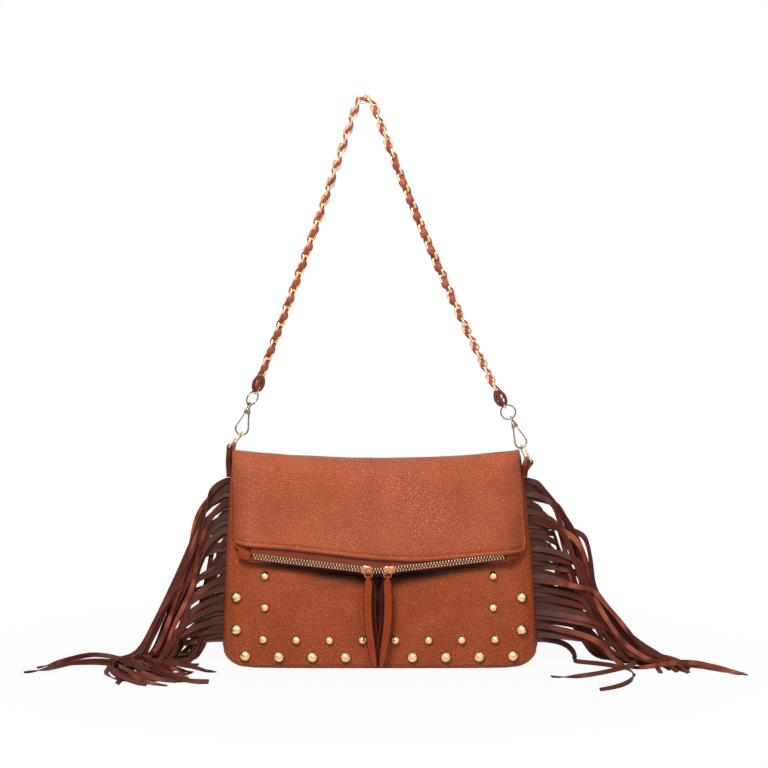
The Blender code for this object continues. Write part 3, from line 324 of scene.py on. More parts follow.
class NodeGraph:
    """Adds and joins the nodes of one tree."""

    def __init__(self, tree: NodeTree) -> None:
        """Works on the given tree."""
        self.tree = tree
        self._placed = 0

    def add(self, kind: str, values: dict[str | int, object] | None = None, **settings: object) -> Node:
        """Adds a node.

        Args:
            kind: The node's type.
            values: What each input takes, by name or place: a constant or another node's output.
            **settings: The node's own settings.

        Returns:
            The node.
        """
        node = self.tree.nodes.new(kind)
        node.location = (220 * (self._placed % 8), -280 * (self._placed // 8))
        self._placed += 1
        for name, setting in settings.items():
            setattr(node, name, setting)
        for key, value in (values or {}).items():
            self.feed(node.inputs[key], value)
        return node

    def feed(self, socket: NodeSocket, value: object) -> None:
        """Gives a socket a constant, or joins another node's output to it."""
        if isinstance(value, NodeSocket):
            self.tree.links.new(value, socket)
        else:
            socket.default_value = value

    def maths(self, operation: str, *values: object) -> NodeSocket:
        """The result of a Math node."""
        return self.add("ShaderNodeMath", dict(enumerate(values)), operation=operation).outputs[0]

    def ramp(self, value: object, low: float, high: float, start: float = 0.0, end: float = 1.0,
             curve: str = "SMOOTHSTEP") -> NodeSocket:
        """The value moved from the range low to high to the range start to end."""
        return self.add("ShaderNodeMapRange", {0: value, 1: low, 2: high, 3: start, 4: end},
                        interpolation_type=curve).outputs[0]

    def blend(self, share: object, a: object, b: object) -> NodeSocket:
        """The colour a share of the way from a to b."""
        return self.add("ShaderNodeMix", {0: share, 6: a, 7: b}, data_type="RGBA", blend_type="MIX").outputs[2]

    def vectors(self, operation: str, *values: object, output: str = "Vector") -> NodeSocket:
        """The result of a Vector Math node."""
        return self.add("ShaderNodeVectorMath", dict(enumerate(values)), operation=operation).outputs[output]

    def use(self, tree: NodeTree, where: object, **values: object) -> Sequence[NodeSocket]:
        """The outputs of a shared group at a place; values name its other inputs."""
        return self.add("ShaderNodeGroup", {"Vector": where, **values}, node_tree=tree).outputs

    def noise(self, vector: object, scale: object, detail: float) -> Node:
        """A Noise Texture node."""
        return self.add("ShaderNodeTexNoise", {"Vector": vector, "Scale": scale, "Detail": detail})

    def bump(self, height: object, distance: float, strength: float) -> NodeSocket:
        """The normal of a surface with a fine relief."""
        return self.add("ShaderNodeBump", {"Strength": strength, "Distance": distance, "Height": height}).outputs[0]

    def marked(self, name: str) -> NodeSocket:
        """A number that the mesh carries under a name, or 0."""
        return self.add("ShaderNodeAttribute", attribute_name=name).outputs["Fac"]

    def seen(self) -> NodeSocket:
        """1 for rays from the camera and those that mirror or pass through something, else 0."""
        path = self.add("ShaderNodeLightPath")
        return self.maths("MAXIMUM", path.outputs["Is Camera Ray"],
                          self.maths("MAXIMUM", path.outputs["Is Glossy Ray"], path.outputs["Is Transmission Ray"]))


def group(kind: str, name: str, inputs: Sequence[tuple[str, str, object]],
          outputs: Sequence[tuple[str, str]]) -> tuple[NodeGraph, Node, Node]:
    """A new node group with named sockets.

    Args:
        kind: The tree's type.
        name: The group's name.
        inputs: Each input's name, socket type and default, where None leaves the default.
        outputs: Each output's name and socket type.

    Returns:
        Its graph, its input node and its output node.
    """
    tree = bpy.data.node_groups.new(name, kind)
    for label, socket, default in inputs:
        made = tree.interface.new_socket(label, in_out="INPUT", socket_type=socket)
        if default is not None:
            made.default_value = default
    for label, socket in outputs:
        tree.interface.new_socket(label, in_out="OUTPUT", socket_type=socket)
    graph = NodeGraph(tree)
    return graph, graph.add("NodeGroupInput"), graph.add("NodeGroupOutput")


NUMBER, VECTOR, SHAPE = "NodeSocketFloat", "NodeSocketVector", "NodeSocketGeometry"


class Patterns:
    """The shader node groups that several finishes share, each built once."""

    def __init__(self) -> None:
        """Builds every group."""
        self.pebble = self._pebble()
        self.mottle = self._mottle()
        self.plating = self._plating()
        self.fibre = self._fibre()
        self.weave = self._weave()

    @staticmethod
    def _pebble() -> NodeTree:
        """Pebbled leather grain: rounded pebbles between thin creases, with finer ones on them."""
        graph, given, made = group("ShaderNodeTree", "Pebble grain", [
            ("Vector", VECTOR, None), ("Pebble size", NUMBER, 0.0016), ("Unevenness", NUMBER, 0.7)],
            [("Height", NUMBER), ("Crease", NUMBER), ("Tone", NUMBER)])
        per_metre = graph.maths("DIVIDE", 1.0, given.outputs[1])
        scaled = graph.add("ShaderNodeVectorMath", {0: given.outputs[0], "Scale": per_metre},
                           operation="SCALE").outputs[0]
        wave = graph.noise(scaled, 0.5, 2.0)
        centred = graph.vectors("SUBTRACT", wave.outputs["Color"], (0.5, 0.5, 0.5))
        pushed = graph.vectors("MULTIPLY_ADD", centred, given.outputs[2], scaled)
        large, small = (graph.add("ShaderNodeTexVoronoi", {"Vector": pushed, "Scale": scale},
                                  feature="DISTANCE_TO_EDGE") for scale in (1.0, 2.3))
        cell = graph.add("ShaderNodeTexVoronoi", {"Vector": pushed, "Scale": 1.0}, feature="F1")
        rounded = graph.ramp(large.outputs["Distance"], 0.0, 0.30)
        fine = graph.ramp(small.outputs["Distance"], 0.0, 0.25)
        height = graph.maths("MULTIPLY_ADD", fine, 0.22, graph.maths("MULTIPLY", rounded, 0.78))
        graph.feed(made.inputs["Height"], height)
        graph.feed(made.inputs["Crease"], graph.maths("SUBTRACT", 1.0, rounded))
        tint = graph.add("ShaderNodeSeparateColor", {0: cell.outputs["Color"]})
        graph.feed(made.inputs["Tone"], tint.outputs[0])
        return graph.tree

    @staticmethod
    def _mottle() -> NodeTree:
        """Slow patches of lighter and darker dye."""
        graph, given, made = group("ShaderNodeTree", "Dye patches", [
            ("Vector", VECTOR, None), ("Patch size", NUMBER, 0.03)], [("Mask", NUMBER)])
        per_metre = graph.maths("DIVIDE", 1.0, given.outputs[1])
        patches = graph.noise(given.outputs[0], per_metre, 4.0)
        graph.feed(made.inputs["Mask"], graph.ramp(patches.outputs[0], 0.33, 0.67))
        return graph.tree

    @staticmethod
    def _plating() -> NodeTree:
        """Faint hairlines and hazy patches on plated metal."""
        graph, given, made = group("ShaderNodeTree", "Plating", [
            ("Vector", VECTOR, None), ("Haze size", NUMBER, 0.004)], [("Haze", NUMBER), ("Hairlines", NUMBER)])
        per_metre = graph.maths("DIVIDE", 1.0, given.outputs[1])
        haze = graph.noise(given.outputs[0], per_metre, 3.0)
        lines = graph.add("ShaderNodeTexWave", {"Vector": given.outputs[0], "Scale": 900.0, "Distortion": 14.0,
                                                "Detail": 3.0})
        graph.feed(made.inputs["Haze"], graph.ramp(haze.outputs[0], 0.3, 0.7))
        graph.feed(made.inputs["Hairlines"], graph.ramp(lines.outputs["Fac"], 0.9, 1.0))
        return graph.tree

    @staticmethod
    def _fibre() -> NodeTree:
        """Fine creases that run across a cut strip, from its length and a value that differs from strip to strip."""
        graph, given, made = group("ShaderNodeTree", "Strip creases", [
            ("Vector", VECTOR, None), ("Along", NUMBER, 0.0), ("Strand", NUMBER, 0.0)],
            [("Height", NUMBER), ("Shade", NUMBER)])
        shifted = graph.maths("MULTIPLY_ADD", given.outputs[2], 7.0, given.outputs[1])
        slow = graph.add("ShaderNodeTexNoise", {"W": shifted, "Scale": 38.0, "Detail": 2.0}, noise_dimensions="1D")
        grain = graph.noise(given.outputs[0], 900.0, 3.0)
        wrinkle = graph.add("ShaderNodeTexNoise", {"W": shifted, "Scale": 420.0, "Detail": 1.0}, noise_dimensions="1D")
        graph.feed(made.inputs["Height"], graph.maths("MULTIPLY_ADD", wrinkle.outputs[0], 0.5, grain.outputs[0]))
        graph.feed(made.inputs["Shade"], graph.ramp(slow.outputs[0], 0.3, 0.7))
        return graph.tree

    @staticmethod
    def _weave() -> NodeTree:
        """The ribs of woven tape."""
        graph, given, made = group("ShaderNodeTree", "Tape weave", [
            ("Vector", VECTOR, None), ("Rib", NUMBER, 0.0007)], [("Height", NUMBER)])
        per_metre = graph.maths("DIVIDE", 1.0, given.outputs[1])
        ribs = [graph.add("ShaderNodeTexWave", {"Vector": given.outputs[0], "Distortion": 0.4,
                                                "Scale": graph.maths("MULTIPLY", per_metre, share)},
                          bands_direction=axis).outputs["Fac"] for axis, share in (("X", 0.35), ("Z", 0.2))]
        graph.feed(made.inputs["Height"], graph.maths("MULTIPLY_ADD", ribs[1], 0.5, ribs[0]))
        return graph.tree


Colour = tuple[float, float, float]


def solid(colour: Colour) -> tuple[float, float, float, float]:
    """The colour with full opacity, as a socket takes it."""
    return (*colour, 1.0)


def new_material(name: str, colour: Colour) -> tuple[Material, NodeGraph, Node]:
    """An empty node material, its graph and its Principled BSDF."""
    material = bpy.data.materials.new(name)
    material.use_nodes = True
    material.diffuse_color = solid(colour)
    return material, NodeGraph(material.node_tree), material.node_tree.nodes["Principled BSDF"]


@dataclass(frozen=True)
class Recipe(ABC):
    """What every finish has."""

    name: str
    main: Colour

    @abstractmethod
    def sockets(self, graph: NodeGraph, patterns: Patterns, where: NodeSocket) -> dict[str, object]:
        """Adds the finish's nodes.

        Args:
            graph: The material's graph.
            patterns: The shared groups.
            where: The place in object coordinates.

        Returns:
            What each of the shader's sockets takes.
        """

    def build(self, patterns: Patterns) -> Material:
        """The finish as a node material."""
        material, graph, shader = new_material(self.name, self.main)
        where = graph.add("ShaderNodeTexCoord").outputs["Object"]
        for socket, value in self.sockets(graph, patterns, where).items():
            graph.feed(shader.inputs[socket], value)
        return material


@dataclass(frozen=True)
class LeatherFinish(Recipe):
    """Pebbled leather, with a painted edge, a bare flesh side, painted shade and a painted sheen where the mesh marks
    them.
    """

    dark: Colour
    crease: Colour
    painted: Colour = (0.095, 0.008, 0.006)
    # The bare flesh side's colour; the default is also the near-black that painted shade blends to
    flesh: Colour = (0.006, 0.002, 0.0015)
    # The light, pink colour of the painted sheen on the pebbles' crowns
    rubbed: Colour = (0.66, 0.215, 0.135)
    pebble: float = 0.0024
    patch: float = 0.035
    relief: float = 0.00060
    strength: float = 1.0
    smooth_roughness: float = 0.33
    rough_roughness: float = 0.56
    tone_share: float = 0.22
    crease_share: float = 0.52
    specular: float = 0.34

    def sockets(self, graph: NodeGraph, patterns: Patterns, where: NodeSocket) -> dict[str, object]:
        """The leather's nodes; see the base class."""
        grain = graph.use(patterns.pebble, where, **{"Pebble size": self.pebble})
        patches = graph.use(patterns.mottle, where, **{"Patch size": self.patch})
        tone = graph.maths("MULTIPLY_ADD", grain["Tone"], self.tone_share,
                           graph.maths("MULTIPLY", patches["Mask"], 1.0 - self.tone_share))
        colour = graph.blend(tone, solid(self.dark), solid(self.main))
        colour = graph.blend(graph.maths("MULTIPLY", grain["Crease"], self.crease_share), colour, solid(self.crease))
        # Painted sheen: the pebbles' crowns turn to the sheen colour where the mesh marks it
        sheen_crowns = graph.maths("MULTIPLY", graph.ramp(grain["Height"], 0.35, 0.85), graph.marked("rubbed"))
        colour = graph.blend(sheen_crowns, colour, solid(self.rubbed))
        # The marked painted shade turns the colour to the flesh colour and makes the leather matt
        painted, grime = graph.ramp(graph.marked("painted"), 0.35, 0.65), graph.marked("grime")
        for share in (graph.marked("flesh"), grime):
            colour = graph.blend(share, colour, solid(self.flesh))
        polished = graph.ramp(grain["Height"], 0.0, 1.0, self.rough_roughness, self.smooth_roughness, "LINEAR")
        height = graph.maths("MULTIPLY", grain["Height"], graph.maths("SUBTRACT", 1.0, painted))
        return {"Base Color": graph.blend(painted, colour, solid(self.painted)),
                "Specular IOR Level": self.specular,
                "Roughness": graph.maths("MAXIMUM", polished, grime),
                "Normal": graph.bump(height, self.relief, self.strength)}


@dataclass(frozen=True)
class StripFinish(Recipe):
    """Thin cut leather: a dyed face, a duller back and a raw cut edge, with a shade that differs by strip; the face
    darkens towards the seam as painted shade, and the back is dark enough to be partly painted shade too.
    """

    pale: Colour
    # Partly the flesh side's own colour, partly painted shade: near-black so that strips showing their back read as
    # strips in shadow
    back: Colour
    edge: Colour
    # Painted shade: the colour the face darkens to near its root, where the strips leave the seam in the bag's shadow
    root: Colour

    def sockets(self, graph: NodeGraph, patterns: Patterns, where: NodeSocket) -> dict[str, object]:
        """The strips' nodes; see the base class."""
        strand, along, side = (graph.marked(name) for name in ("strand", "along", "grain_side"))
        creases = graph.use(patterns.fibre, where, Along=along, Strand=strand)
        paleness = graph.maths("MULTIPLY", graph.ramp(strand, 0.25, 0.95), creases["Shade"])
        dyed = graph.blend(paleness, solid(self.main), solid(self.pale))
        # Painted shade: over the first 6 cm from the seam the face runs from the root colour to its dyed colour
        face = graph.blend(graph.ramp(along, 0.004, 0.060), solid(self.root), dyed)
        back = graph.blend(graph.ramp(side, -0.5, 0.2), solid(self.back), solid(self.edge))
        return {"Base Color": graph.blend(graph.ramp(side, 0.2, 0.7), back, face),
                "Roughness": graph.ramp(side, -0.2, 0.7, 0.75, 0.50, "LINEAR"),
                "Specular IOR Level": 0.15,
                "Normal": graph.bump(creases["Height"], 0.00015, 0.35)}


@dataclass(frozen=True)
class MetalFinish(Recipe):
    """Polished plating."""

    shade: Colour
    bright_roughness: float = 0.13
    hazy_roughness: float = 0.24
    hairline_roughness: float = 0.08

    def sockets(self, graph: NodeGraph, patterns: Patterns, where: NodeSocket) -> dict[str, object]:
        """The metal's nodes; see the base class."""
        plating = graph.use(patterns.plating, where)
        haze = graph.ramp(plating["Haze"], 0.0, 1.0, self.bright_roughness, self.hazy_roughness, "LINEAR")
        return {"Base Color": graph.blend(plating["Haze"], solid(self.main), solid(self.shade)),
                "Roughness": graph.maths("MULTIPLY_ADD", plating["Hairlines"], self.hairline_roughness, haze),
                "Metallic": 1.0}


@dataclass(frozen=True)
class WovenFinish(Recipe):
    """Woven zip tape or sewing thread."""

    dark: Colour
    rib: float

    def sockets(self, graph: NodeGraph, patterns: Patterns, where: NodeSocket) -> dict[str, object]:
        """The weave's nodes; see the base class."""
        height = graph.use(patterns.weave, where, Rib=self.rib)["Height"]
        return {"Base Color": graph.blend(graph.ramp(height, 0.0, 1.2), solid(self.dark), solid(self.main)),
                "Roughness": 0.85,
                "Specular IOR Level": 0.15,
                "Normal": graph.bump(height, 0.0001, 0.4)}


FINISHES: dict[Finish, Recipe] = {
    Finish.BODY_LEATHER: LeatherFinish("cognac_pebbled_leather", (0.530, 0.112, 0.031), (0.430, 0.086, 0.022),
                                       (0.200, 0.032, 0.010)),
    # Painted shade: the body leather made darker for the front panel's less lit face
    Finish.FRONT_LEATHER: LeatherFinish("cognac_front_leather", (0.430, 0.084, 0.020), (0.345, 0.064, 0.015),
                                        (0.150, 0.022, 0.007), specular=0.22),
    Finish.PULL_LEATHER: LeatherFinish("pull_leather", (0.360, 0.070, 0.022), (0.290, 0.052, 0.016),
                                       (0.150, 0.022, 0.008), flesh=(0.030, 0.007, 0.004), pebble=0.0015,
                                       strength=0.5, specular=0.05),
    Finish.WELT: LeatherFinish("seam_welt_leather", (0.14, 0.026, 0.012), (0.10, 0.018, 0.009),
                               (0.06, 0.010, 0.006), pebble=0.0014, strength=0.5),
    Finish.LACE_LEATHER: LeatherFinish("lace_leather", (0.500, 0.108, 0.042), (0.270, 0.052, 0.024),
                                       (0.12, 0.018, 0.008), pebble=0.0030, relief=0.00030, strength=0.6),
    Finish.FRINGE_LEATHER: StripFinish("fringe_leather", (0.082, 0.017, 0.010), (0.330, 0.082, 0.038),
                                       (0.020, 0.006, 0.004), (0.12, 0.027, 0.014), (0.046, 0.011, 0.007)),
    Finish.ZIP_TAPE: WovenFinish("zip_tape", (0.230, 0.048, 0.028), (0.12, 0.022, 0.015), 0.0007),
    Finish.THREAD: WovenFinish("sewing_thread", (0.30, 0.060, 0.024), (0.18, 0.034, 0.014), 0.0003),
    Finish.PALE_GOLD: MetalFinish("pale_gold_plating", (0.92, 0.70, 0.42), (0.68, 0.48, 0.26), 0.06, 0.13),
    Finish.HOOK_GOLD: MetalFinish("worn_gold_plating", (0.32, 0.25, 0.165), (0.18, 0.135, 0.085)),
    Finish.ROSE_GOLD: MetalFinish("rose_gold_plating", (0.74, 0.34, 0.19), (0.42, 0.15, 0.08), 0.08, 0.2),
}


class Growth:
    """The Geometry Nodes trees that repeat a shape or sweep strips, each built once."""

    def __init__(self) -> None:
        """Builds every tree."""
        self.copies = self._copies()
        self.stitches = self._stitches()
        self.strips = self._strips()

    @staticmethod
    def _attribute(graph: NodeGraph, name: str, kind: str) -> NodeSocket:
        """A named value that the source mesh carries."""
        return graph.add("GeometryNodeInputNamedAttribute", {"Name": name}, data_type=kind).outputs[0]

    @staticmethod
    def _finished(graph: NodeGraph, made: Node, geometry: NodeSocket,
                  material: NodeSocket) -> NodeTree:
        """Ends a tree: the instances made real, with their material."""
        real = graph.add("GeometryNodeRealizeInstances", {0: geometry}).outputs[0]
        graph.feed(made.inputs[0], graph.add("GeometryNodeSetMaterial", {0: real, 2: material}).outputs[0])
        return graph.tree

    @classmethod
    def _placed(cls, graph: NodeGraph, points: object, given: Node, heading: object,
                **more: object) -> NodeSocket:
        """A copy of the given object at each point, its Z to the point's facing and its X to a heading."""
        turn = graph.add("FunctionNodeAxesToRotation", {0: cls._attribute(graph, "facing", "FLOAT_VECTOR"), 1: heading},
                         primary_axis="Z", secondary_axis="X").outputs[0]
        shape = graph.add("GeometryNodeObjectInfo", {"Object": given.outputs[1]}).outputs["Geometry"]
        return graph.add("GeometryNodeInstanceOnPoints", {"Points": points, "Instance": shape, "Rotation": turn,
                                                          **more}).outputs[0]

    @classmethod
    def _copies(cls) -> NodeTree:
        """One copy of a shape at each point, turned by the point's facing and heading."""
        graph, given, made = group("GeometryNodeTree", "Placed copies", [
            ("Points", SHAPE, None), ("Shape", "NodeSocketObject", None),
            ("Material", "NodeSocketMaterial", None)], [("Geometry", SHAPE)])
        put = cls._placed(graph, given.outputs[0], given, cls._attribute(graph, "heading", "FLOAT_VECTOR"),
                          Scale=cls._attribute(graph, "size", "FLOAT"))
        return cls._finished(graph, made, put, given.outputs[2])

    @classmethod
    def _stitches(cls) -> NodeTree:
        """A row of stitches along each line, flat on the surface that the line's facing names."""
        graph, given, made = group("GeometryNodeTree", "Stitch rows", [
            ("Lines", SHAPE, None), ("Shape", "NodeSocketObject", None), ("Material", "NodeSocketMaterial", None),
            ("Pitch", NUMBER, 0.003)], [("Geometry", SHAPE)])
        curves = graph.add("GeometryNodeMeshToCurve", {0: given.outputs[0]}).outputs[0]
        spaced = graph.add("GeometryNodeResampleCurve", {"Curve": curves, "Length": given.outputs[3]},
                           mode="LENGTH").outputs[0]
        sewn = cls._placed(graph, spaced, given, graph.add("GeometryNodeInputTangent").outputs[0])
        return cls._finished(graph, made, sewn, given.outputs[2])

    @classmethod
    def _strips(cls) -> NodeTree:
        """A flat strip swept along each line, its face towards the line's facing."""
        graph, given, made = group("GeometryNodeTree", "Cut strips", [
            ("Lines", SHAPE, None), ("Width", NUMBER, 0.0057), ("Thickness", NUMBER, 0.0012),
            ("Material", "NodeSocketMaterial", None)], [("Geometry", SHAPE)])
        curves = graph.add("GeometryNodeMeshToCurve", {0: given.outputs[0]}).outputs[0]
        facing = cls._attribute(graph, "facing", "FLOAT_VECTOR")
        turned = graph.add("GeometryNodeSetCurveNormal", {"Curve": curves, "Normal": facing}, mode="FREE").outputs[0]
        length = graph.add("GeometryNodeSplineParameter").outputs["Length"]
        measured = graph.add("GeometryNodeStoreNamedAttribute", {"Geometry": turned, "Name": "along", "Value": length},
                             data_type="FLOAT").outputs[0]
        section = graph.add("GeometryNodeCurvePrimitiveQuadrilateral", {"Width": given.outputs[2],
                                                                        "Height": given.outputs[1]}).outputs[0]
        swept = graph.add("GeometryNodeCurveToMesh", {"Curve": measured, "Profile Curve": section,
                                                      "Scale": cls._attribute(graph, "size", "FLOAT"),
                                                      "Fill Caps": True}).outputs[0]
        side = graph.vectors("DOT_PRODUCT", graph.add("GeometryNodeInputNormal").outputs[0], facing, output="Value")
        sided = graph.add("GeometryNodeStoreNamedAttribute", {"Geometry": swept, "Name": "grain_side", "Value": side},
                          data_type="FLOAT", domain="FACE").outputs[0]
        return cls._finished(graph, made, sided, given.outputs[3])


@dataclass
class Workshop:
    """Holds the finishes and trees, and puts finished pieces on their bodies."""

    patterns: Patterns = field(default_factory=Patterns)
    growth: Growth = field(default_factory=Growth)
    materials: dict[Finish, Material] = field(default_factory=dict)
    pieces: list[Object] = field(default_factory=list)

    def __post_init__(self) -> None:
        """Builds every finish."""
        for finish, recipe in FINISHES.items():
            self.materials[finish] = recipe.build(self.patterns)

    def piece(self, name: str, mesh: Mesh, finish: Finish, body: str,
              nodes: Sequence[str] = ()) -> Object:
        """Makes a finished piece of a mesh and puts it on its body.

        Args:
            name: The piece's name.
            mesh: Its mesh, in place.
            finish: Its finish.
            body: The CAD body it moves with.
            nodes: The CAD nodes it stands for.

        Returns:
            The object.
        """
        mesh.name = name
        mesh.materials.clear()
        mesh.materials.append(self.materials[finish])
        made = new_object(name, mesh)
        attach(made, body)
        if nodes:
            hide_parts(*nodes)
        self.pieces.append(made)
        mesh.calc_loop_triangles()
        LOG.info("%s on %s: %d triangles", name, body, len(mesh.loop_triangles))
        return made

    def sided(self, kind: str, side: Side, look: str, mesh: Mesh, finish: Finish,
              body: str = "") -> Object:
        """Makes the piece that stands for one side's node of a kind.

        Args:
            kind: The node's name without its side.
            side: The side.
            look: The word that the piece's name ends in.
            mesh: Its mesh, in place.
            finish: Its finish.
            body: The CAD body it moves with, if that isn't named as the node is.

        Returns:
            The object.
        """
        node = f"{kind}_{side.label}"
        return self.piece(f"{node}_{look}", mesh, finish, body or node, [node])

    def grow(self, source: Mesh, tree: NodeTree, **values: object) -> Mesh:
        """Runs a Geometry Nodes tree on a mesh.

        Args:
            source: The mesh that the tree reads.
            tree: The tree.
            **values: Its inputs, by name.

        Returns:
            The result as a plain mesh, smooth-shaded.
        """
        carrier = new_object("carrier", source)
        modifier = carrier.modifiers.new("grow", "NODES")
        modifier.node_group = tree
        sockets = {item.name: item.identifier for item in tree.interface.items_tree
                   if item.item_type == "SOCKET" and item.in_out == "INPUT"}
        for name, value in values.items():
            modifier[sockets[name]] = value
        bpy.context.view_layer.update()
        depsgraph = bpy.context.evaluated_depsgraph_get()
        mesh = bpy.data.meshes.new_from_object(carrier.evaluated_get(depsgraph), preserve_all_data_layers=True,
                                               depsgraph=depsgraph)
        bpy.data.objects.remove(carrier)
        mesh.shade_smooth()
        mesh.set_sharp_from_angle(angle=SHARP_ANGLE)
        return mesh

    def copies(self, shape: Mesh, points: Sequence[Vector], facing: Sequence[Vector],
               heading: Sequence[Vector], sizes: Sequence[float], finish: Finish) -> Mesh:
        """Copies of a shape at points.

        Args:
            shape: The shape, about its own origin.
            points: Where the copies go.
            facing: Where each copy's Z points.
            heading: Where each copy's X points.
            sizes: Each copy's scale.
            finish: Their finish.

        Returns:
            All of them as one mesh.
        """
        source = polylines([[p] for p in points], {"facing": facing, "heading": heading}, {"size": sizes})
        return self._repeated(shape, source, self.growth.copies, finish)

    def _repeated(self, shape: Mesh, source: Mesh, tree: NodeTree, finish: Finish,
                  **values: object) -> Mesh:
        """Runs a tree that repeats a shape on a mesh."""
        pattern = bpy.data.objects.new("pattern", shape)
        mesh = self.grow(source, tree, Shape=pattern, Material=self.materials[finish], **values)
        bpy.data.objects.remove(pattern)
        return mesh

    def stitches(self, lines: Sequence[Sequence[Vector]], facing: Sequence[Sequence[Vector]], pitch: float,
                 length: float, thickness: float) -> Mesh:
        """Rows of stitches along lines.

        Args:
            lines: The lines that the rows follow.
            facing: The surface's normal at each point of each line.
            pitch: From one stitch to the next.
            length: The length of a stitch.
            thickness: The thread's thickness.

        Returns:
            All of them as one mesh.
        """
        rings = [circle(Vector((share * length / 2, 0, 0)), -FRONT, UP, thickness / 2 * size, 6)
                 for share, size in ((-1.0, 0.35), (-0.72, 0.85), (0.0, 1.0), (0.72, 0.85), (1.0, 0.35))]
        source = polylines(lines, {"facing": [n for line in facing for n in line]})
        return self._repeated(loft(rings), source, self.growth.stitches, Finish.THREAD, Pitch=pitch)


@dataclass(frozen=True)
class PouchShape:
    """The curves that the pouch's leather, zip and fittings follow, in the pouch's own frame."""

    height: float = 0.2165
    fold_sag: float = 0.0075
    base_width: float = 0.309
    fold_width: float = 0.281
    mouth_width: float = 0.2865
    fold_shift: float = -0.004
    base_corner: float = 0.020
    half_depth: float = 0.0205
    base_edge: float = 0.0065
    leather: float = 0.0016
    clearance: float = 0.0003
    header: float = 0.0012
    fold_side: float = 0.006
    fold_middle: float = 0.014
    zip_middle: float = -0.002
    zip_height: float = 0.1015
    zip_forward: float = 0.038
    zip_rise: float = 0.100
    zip_retreat: float = 0.105
    zip_blend: float = 0.006
    zip_half: float = 0.1255
    flap_line: Table = ((-0.149, 0.1265), (-0.137, 0.1252), (-0.118, 0.1236), (-0.098, 0.1232), (-0.078, 0.1211),
                        (-0.059, 0.1193), (-0.039, 0.1176), (-0.02, 0.1154), (0.0, 0.1139), (0.02, 0.1125),
                        (0.039, 0.1116), (0.069, 0.1135), (0.088, 0.1145), (0.103, 0.1158), (0.118, 0.1173),
                        (0.137, 0.1171), (0.151, 0.117))
    flap_standoff: float = 0.0016
    flap_tuck: float = 0.0038
    slider_room: float = 0.0031
    slider_stop: float = 0.1155
    flap_corner: float = 0.007
    tape: float = 0.0006
    back_wall: Table = ((0.0, 0.0205), (0.18, 0.0225), (0.40, 0.0215), (0.62, 0.0175), (0.82, 0.0110), (1.0, 0.0060))
    front_wall: Table = ((0.0, 0.0205), (0.14, 0.0225), (0.30, 0.0225), (0.48, 0.0185), (0.66, 0.0130),
                         (0.84, 0.0065), (1.0, 0.0020))

    @property
    def seam_offset(self) -> float:
        """From the seam plane to the middle of a panel's leather."""
        return (self.header + 2 * self.clearance + self.leather) / 2

    @staticmethod
    def bulge(u: float) -> float:
        """1 at mid-width, falling to 0 at the side seams."""
        return math.sqrt(max(0.0, 1 - u ** 4))

    def spread(self, share: float) -> tuple[float, float]:
        """Mid-line shift and half-width of the panels; share 0 is the base, 1 the fold and 2 the mouth."""
        if share <= 1:
            return self.fold_shift * share ** 2, mix(self.base_width, self.fold_width, share ** 1.6) / 2
        return self.fold_shift * (2 - share), mix(self.fold_width, self.mouth_width, share - 1) / 2

    def seam_x(self, height: float, sign: int) -> float:
        """The side seam's place across at a height."""
        centre, half = self.spread(height / self.height)
        return centre + sign * half

    def base_lift(self, u: float) -> float:
        """Height of the base at a column, with its rounded lower corners."""
        reach = abs(u) * self.base_width / 2 - (self.base_width / 2 - self.base_corner)
        return 0.0 if reach <= 0 else self.base_corner - math.sqrt(max(0.0, self.base_corner ** 2 - reach ** 2))

    def zip_point(self, x: float) -> Vector:
        """A point on the line between the two rows of teeth."""
        d = abs(x - self.zip_middle)
        out = d if d >= self.zip_blend else (d * d + self.zip_blend ** 2) / (2 * self.zip_blend)
        return Vector((x, -self.zip_forward + self.zip_retreat * out, self.zip_height + self.zip_rise * out))

    def flap_edge(self, x: float) -> float:
        """Height of the flap's lower edge, its table's corners rounded off."""
        across, heights = zip(*self.flap_line)
        return float(np.mean(np.interp([x + k * 0.004 for k in range(-3, 4)], across, heights)))

    def zip_frame(self, x: float) -> tuple[Vector, Vector, Vector]:
        """Along, up and outward directions of the zip at x."""
        along = (self.zip_point(x + 1e-4) - self.zip_point(x - 1e-4)).normalized()
        up = (UP - along * along.z).normalized()
        return along, up, along.cross(up).normalized()

    def mouth_point(self, x: float, half: float) -> Vector:
        """The zip line carried on to the side seams, where it turns in to meet them."""
        point = self.zip_point(x)
        past = max(0.0, abs(x - self.zip_middle) - self.zip_half)
        span = max(1e-6, half - self.zip_half)
        at_end = -self.zip_forward + self.zip_retreat * (self.zip_half + span)
        point.y += (-2 * self.fold_side - 0.001 - at_end) * min(1.0, past / span) ** 2
        return point

    def _wall(self, u: float, table: Table, side: int, top: float) -> list[tuple[float, float, float]]:
        """Base, base edge and wall of one panel at a column."""
        c, s = self.bulge(u), max(0.0, (abs(u) - 0.8) / 0.2)
        lift = self.base_lift(u) + self.leather / 2
        flat = self.half_depth - self.base_edge
        start = mix(self.clearance / 2, self.seam_offset, s)
        rows = [(start + (self.seam_offset - start) * share + c * flat * share, lift + 0.0008 * s * k, 0.0)
                for k, share in enumerate((0.0, 0.3, 0.65, 1.0))]
        edge = self.base_edge * max(c, 0.12)
        for k, degrees in enumerate((35, 70)):
            turn = math.radians(degrees)
            rows.append((self.seam_offset + c * flat + c * self.base_edge * math.sin(turn),
                         lift + 0.0008 * s * (4 + k) + edge * (1 - math.cos(turn)), 0.02))
        foot = lift + 0.004 * s + edge
        for share, depth in table:
            height = mix(foot, top, share)
            rows.append((self.seam_offset + c * depth, height, height / self.height))
        return [(side * y, z, share) for y, z, share in rows]

